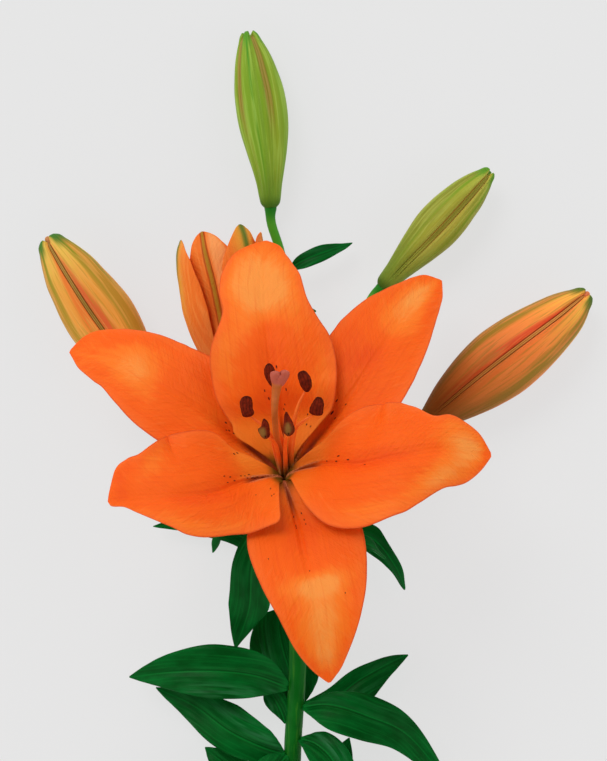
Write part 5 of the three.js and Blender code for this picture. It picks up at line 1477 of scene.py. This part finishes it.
def makeLeaf(name, leaf, order):
    start = leaf.get("start") or leafFoot(leaf["foot"], leaf["midrib"][0])
    midrib = [start] + leaf["midrib"]
    run = np.array(midrib[-1]) - np.array(start)
    outline = leafShape[leaf.get("outline", "outline")]
    left, right = leaf.get("sides") or [[(u, share * leaf["half"]) for u, share in outline]] * 2
    shape = {
        "midrib": midrib,
        "lateral": (-run[1], run[0], 0),
        "left": left,
        "right": right,
        "bend": [(0, 0.06), (0.4, 0.02), (1, 0.01)],
        "groove": [(0, 0.3), (0.3, 0.8), (1, 0.2)],
        "grooveWidth": 2,
        "leftWave": [(0, 0), (0.3, 0.8), (0.55, -0.8), (0.8, 0.6), (1, 0)],
        "rightWave": [(0, 0), (0.35, -0.8), (0.6, 0.8), (0.85, -0.5), (1, 0)],
        "thickness": [(0, leafShape["thickness"]), (1, leafShape["thickness"])],
    }

    def formulas(u, v, s, l):
        ribs = leafShape["ribs"] * np.cos(2 * math.pi * s / leafShape["ribPitch"])
        puckers = leafShape["puckers"] * ripple(s, l, 0.03, 200 + order) * fade(u, 0.1, 0.3)
        both = ribs * (1 - fade(u, 0.8, 1)) * fade(u, 0, 0.1) + puckers
        inner = -leafShape["crease"] * bump(s, 0, 0.6) * (1 - fade(u, 0.8, 1))
        outer = leafShape["keel"] * bump(s, 0, 0.8) * (1 - fade(u, 0.7, 1))
        return both, inner, outer, {
            "midrib": bump(s, 0.25, 0.3) * (1 - 0.6 * fade(u, 0.5, 1)) + 0.7 * (1 - fade(u, 0.02, 0.1)),
            # painted shade: a dark line in the groove beside the midrib
            "crease": 0.8 * bump(s, -0.4, 0.35) * (1 - fade(u, 0.6, 1)),
            # where the painted whitish sheen lies
            "bloomy": leaf.get("bloomy", 0.45) * bump(u, 0.35, 0.4) * bump(v, leaf.get("shine", 0.5), 0.35),
        }

    makeBlade(name + "_blade", shape, (72, 33), lambda points: points, formulas, name, "leaf", leafSkin)


for order, (name, leaf) in enumerate(leaves.items()):
    makeLeaf(name, leaf, order)
print("leaves made")

# Floor, light and camera

studio = {
    "floorTone": 0.14,
    "floorGlow": 0.662,
    "skyHigh": 0.15,  # the sky straight above, kept dark so that no sheen washes out the colours
    "skyLow": 1.1,
    "sunStrength": 1.2,
    "sunSoftness": 30.0,  # degrees
    "sunTilt": (-34, -26),  # degrees about X and Y
    "skyBlend": (0.64, 0.82),  # heights between which the sky darkens
    "floorSize": 3.0,  # m from the middle to each side
}


def makeStudio():
    size = studio["floorSize"]
    mesh = bpy.data.meshes.new("floor")
    mesh.from_pydata([(-size, -size, 0), (size, -size, 0), (size, size, 0), (-size, size, 0)], [], [(0, 1, 2, 3)])
    floor = bpy.data.objects.new("floor", mesh)
    bpy.context.collection.objects.link(floor)
    tone = studio["floorTone"]
    paper = newMaterial("floorPaper", Roughness=0.9, Base_Color=(tone, tone, tone, 1), Specular_IOR_Level=0.0,
                        Emission_Color=(1, 1, 1, 1), Emission_Strength=studio["floorGlow"])[0]
    mesh.materials.append(paper)

    world = bpy.context.scene.world or bpy.data.worlds.new("studio")
    bpy.context.scene.world = world
    world.use_nodes = True
    sky = world.node_tree
    upward = addNode(sky, "SeparateXYZ", {0: addNode(sky, "TexCoord").outputs["Generated"]}).outputs[2]
    strength = spread(sky, upward, *studio["skyBlend"], studio["skyLow"], studio["skyHigh"])
    sky.nodes["Background"].inputs["Color"].default_value = (1, 1, 1, 1)
    sky.links.new(strength, sky.nodes["Background"].inputs["Strength"])

    sun = bpy.data.lights.new("softSun", "SUN")
    sun.energy = studio["sunStrength"]
    sun.angle = math.radians(studio["sunSoftness"])
    light = bpy.data.objects.new("softSun", sun)
    light.rotation_euler = (*np.radians(studio["sunTilt"]), 0)
    bpy.context.collection.objects.link(light)

    camera = bpy.data.cameras.new("camera")
    camera.sensor_width = 36
    camera.lens = camera.sensor_width * whole["cameraFocus"] / whole["pictureHeight"]
    eye = bpy.data.objects.new("camera", camera)
    eye.location = (restCentre[0] / 1000, restCentre[1] / 1000, whole["cameraHeight"] / 1000)
    bpy.context.collection.objects.link(eye)
    bpy.context.scene.camera = eye
    bpy.context.scene.view_settings.view_transform = "Standard"


makeStudio()
print("studio made")
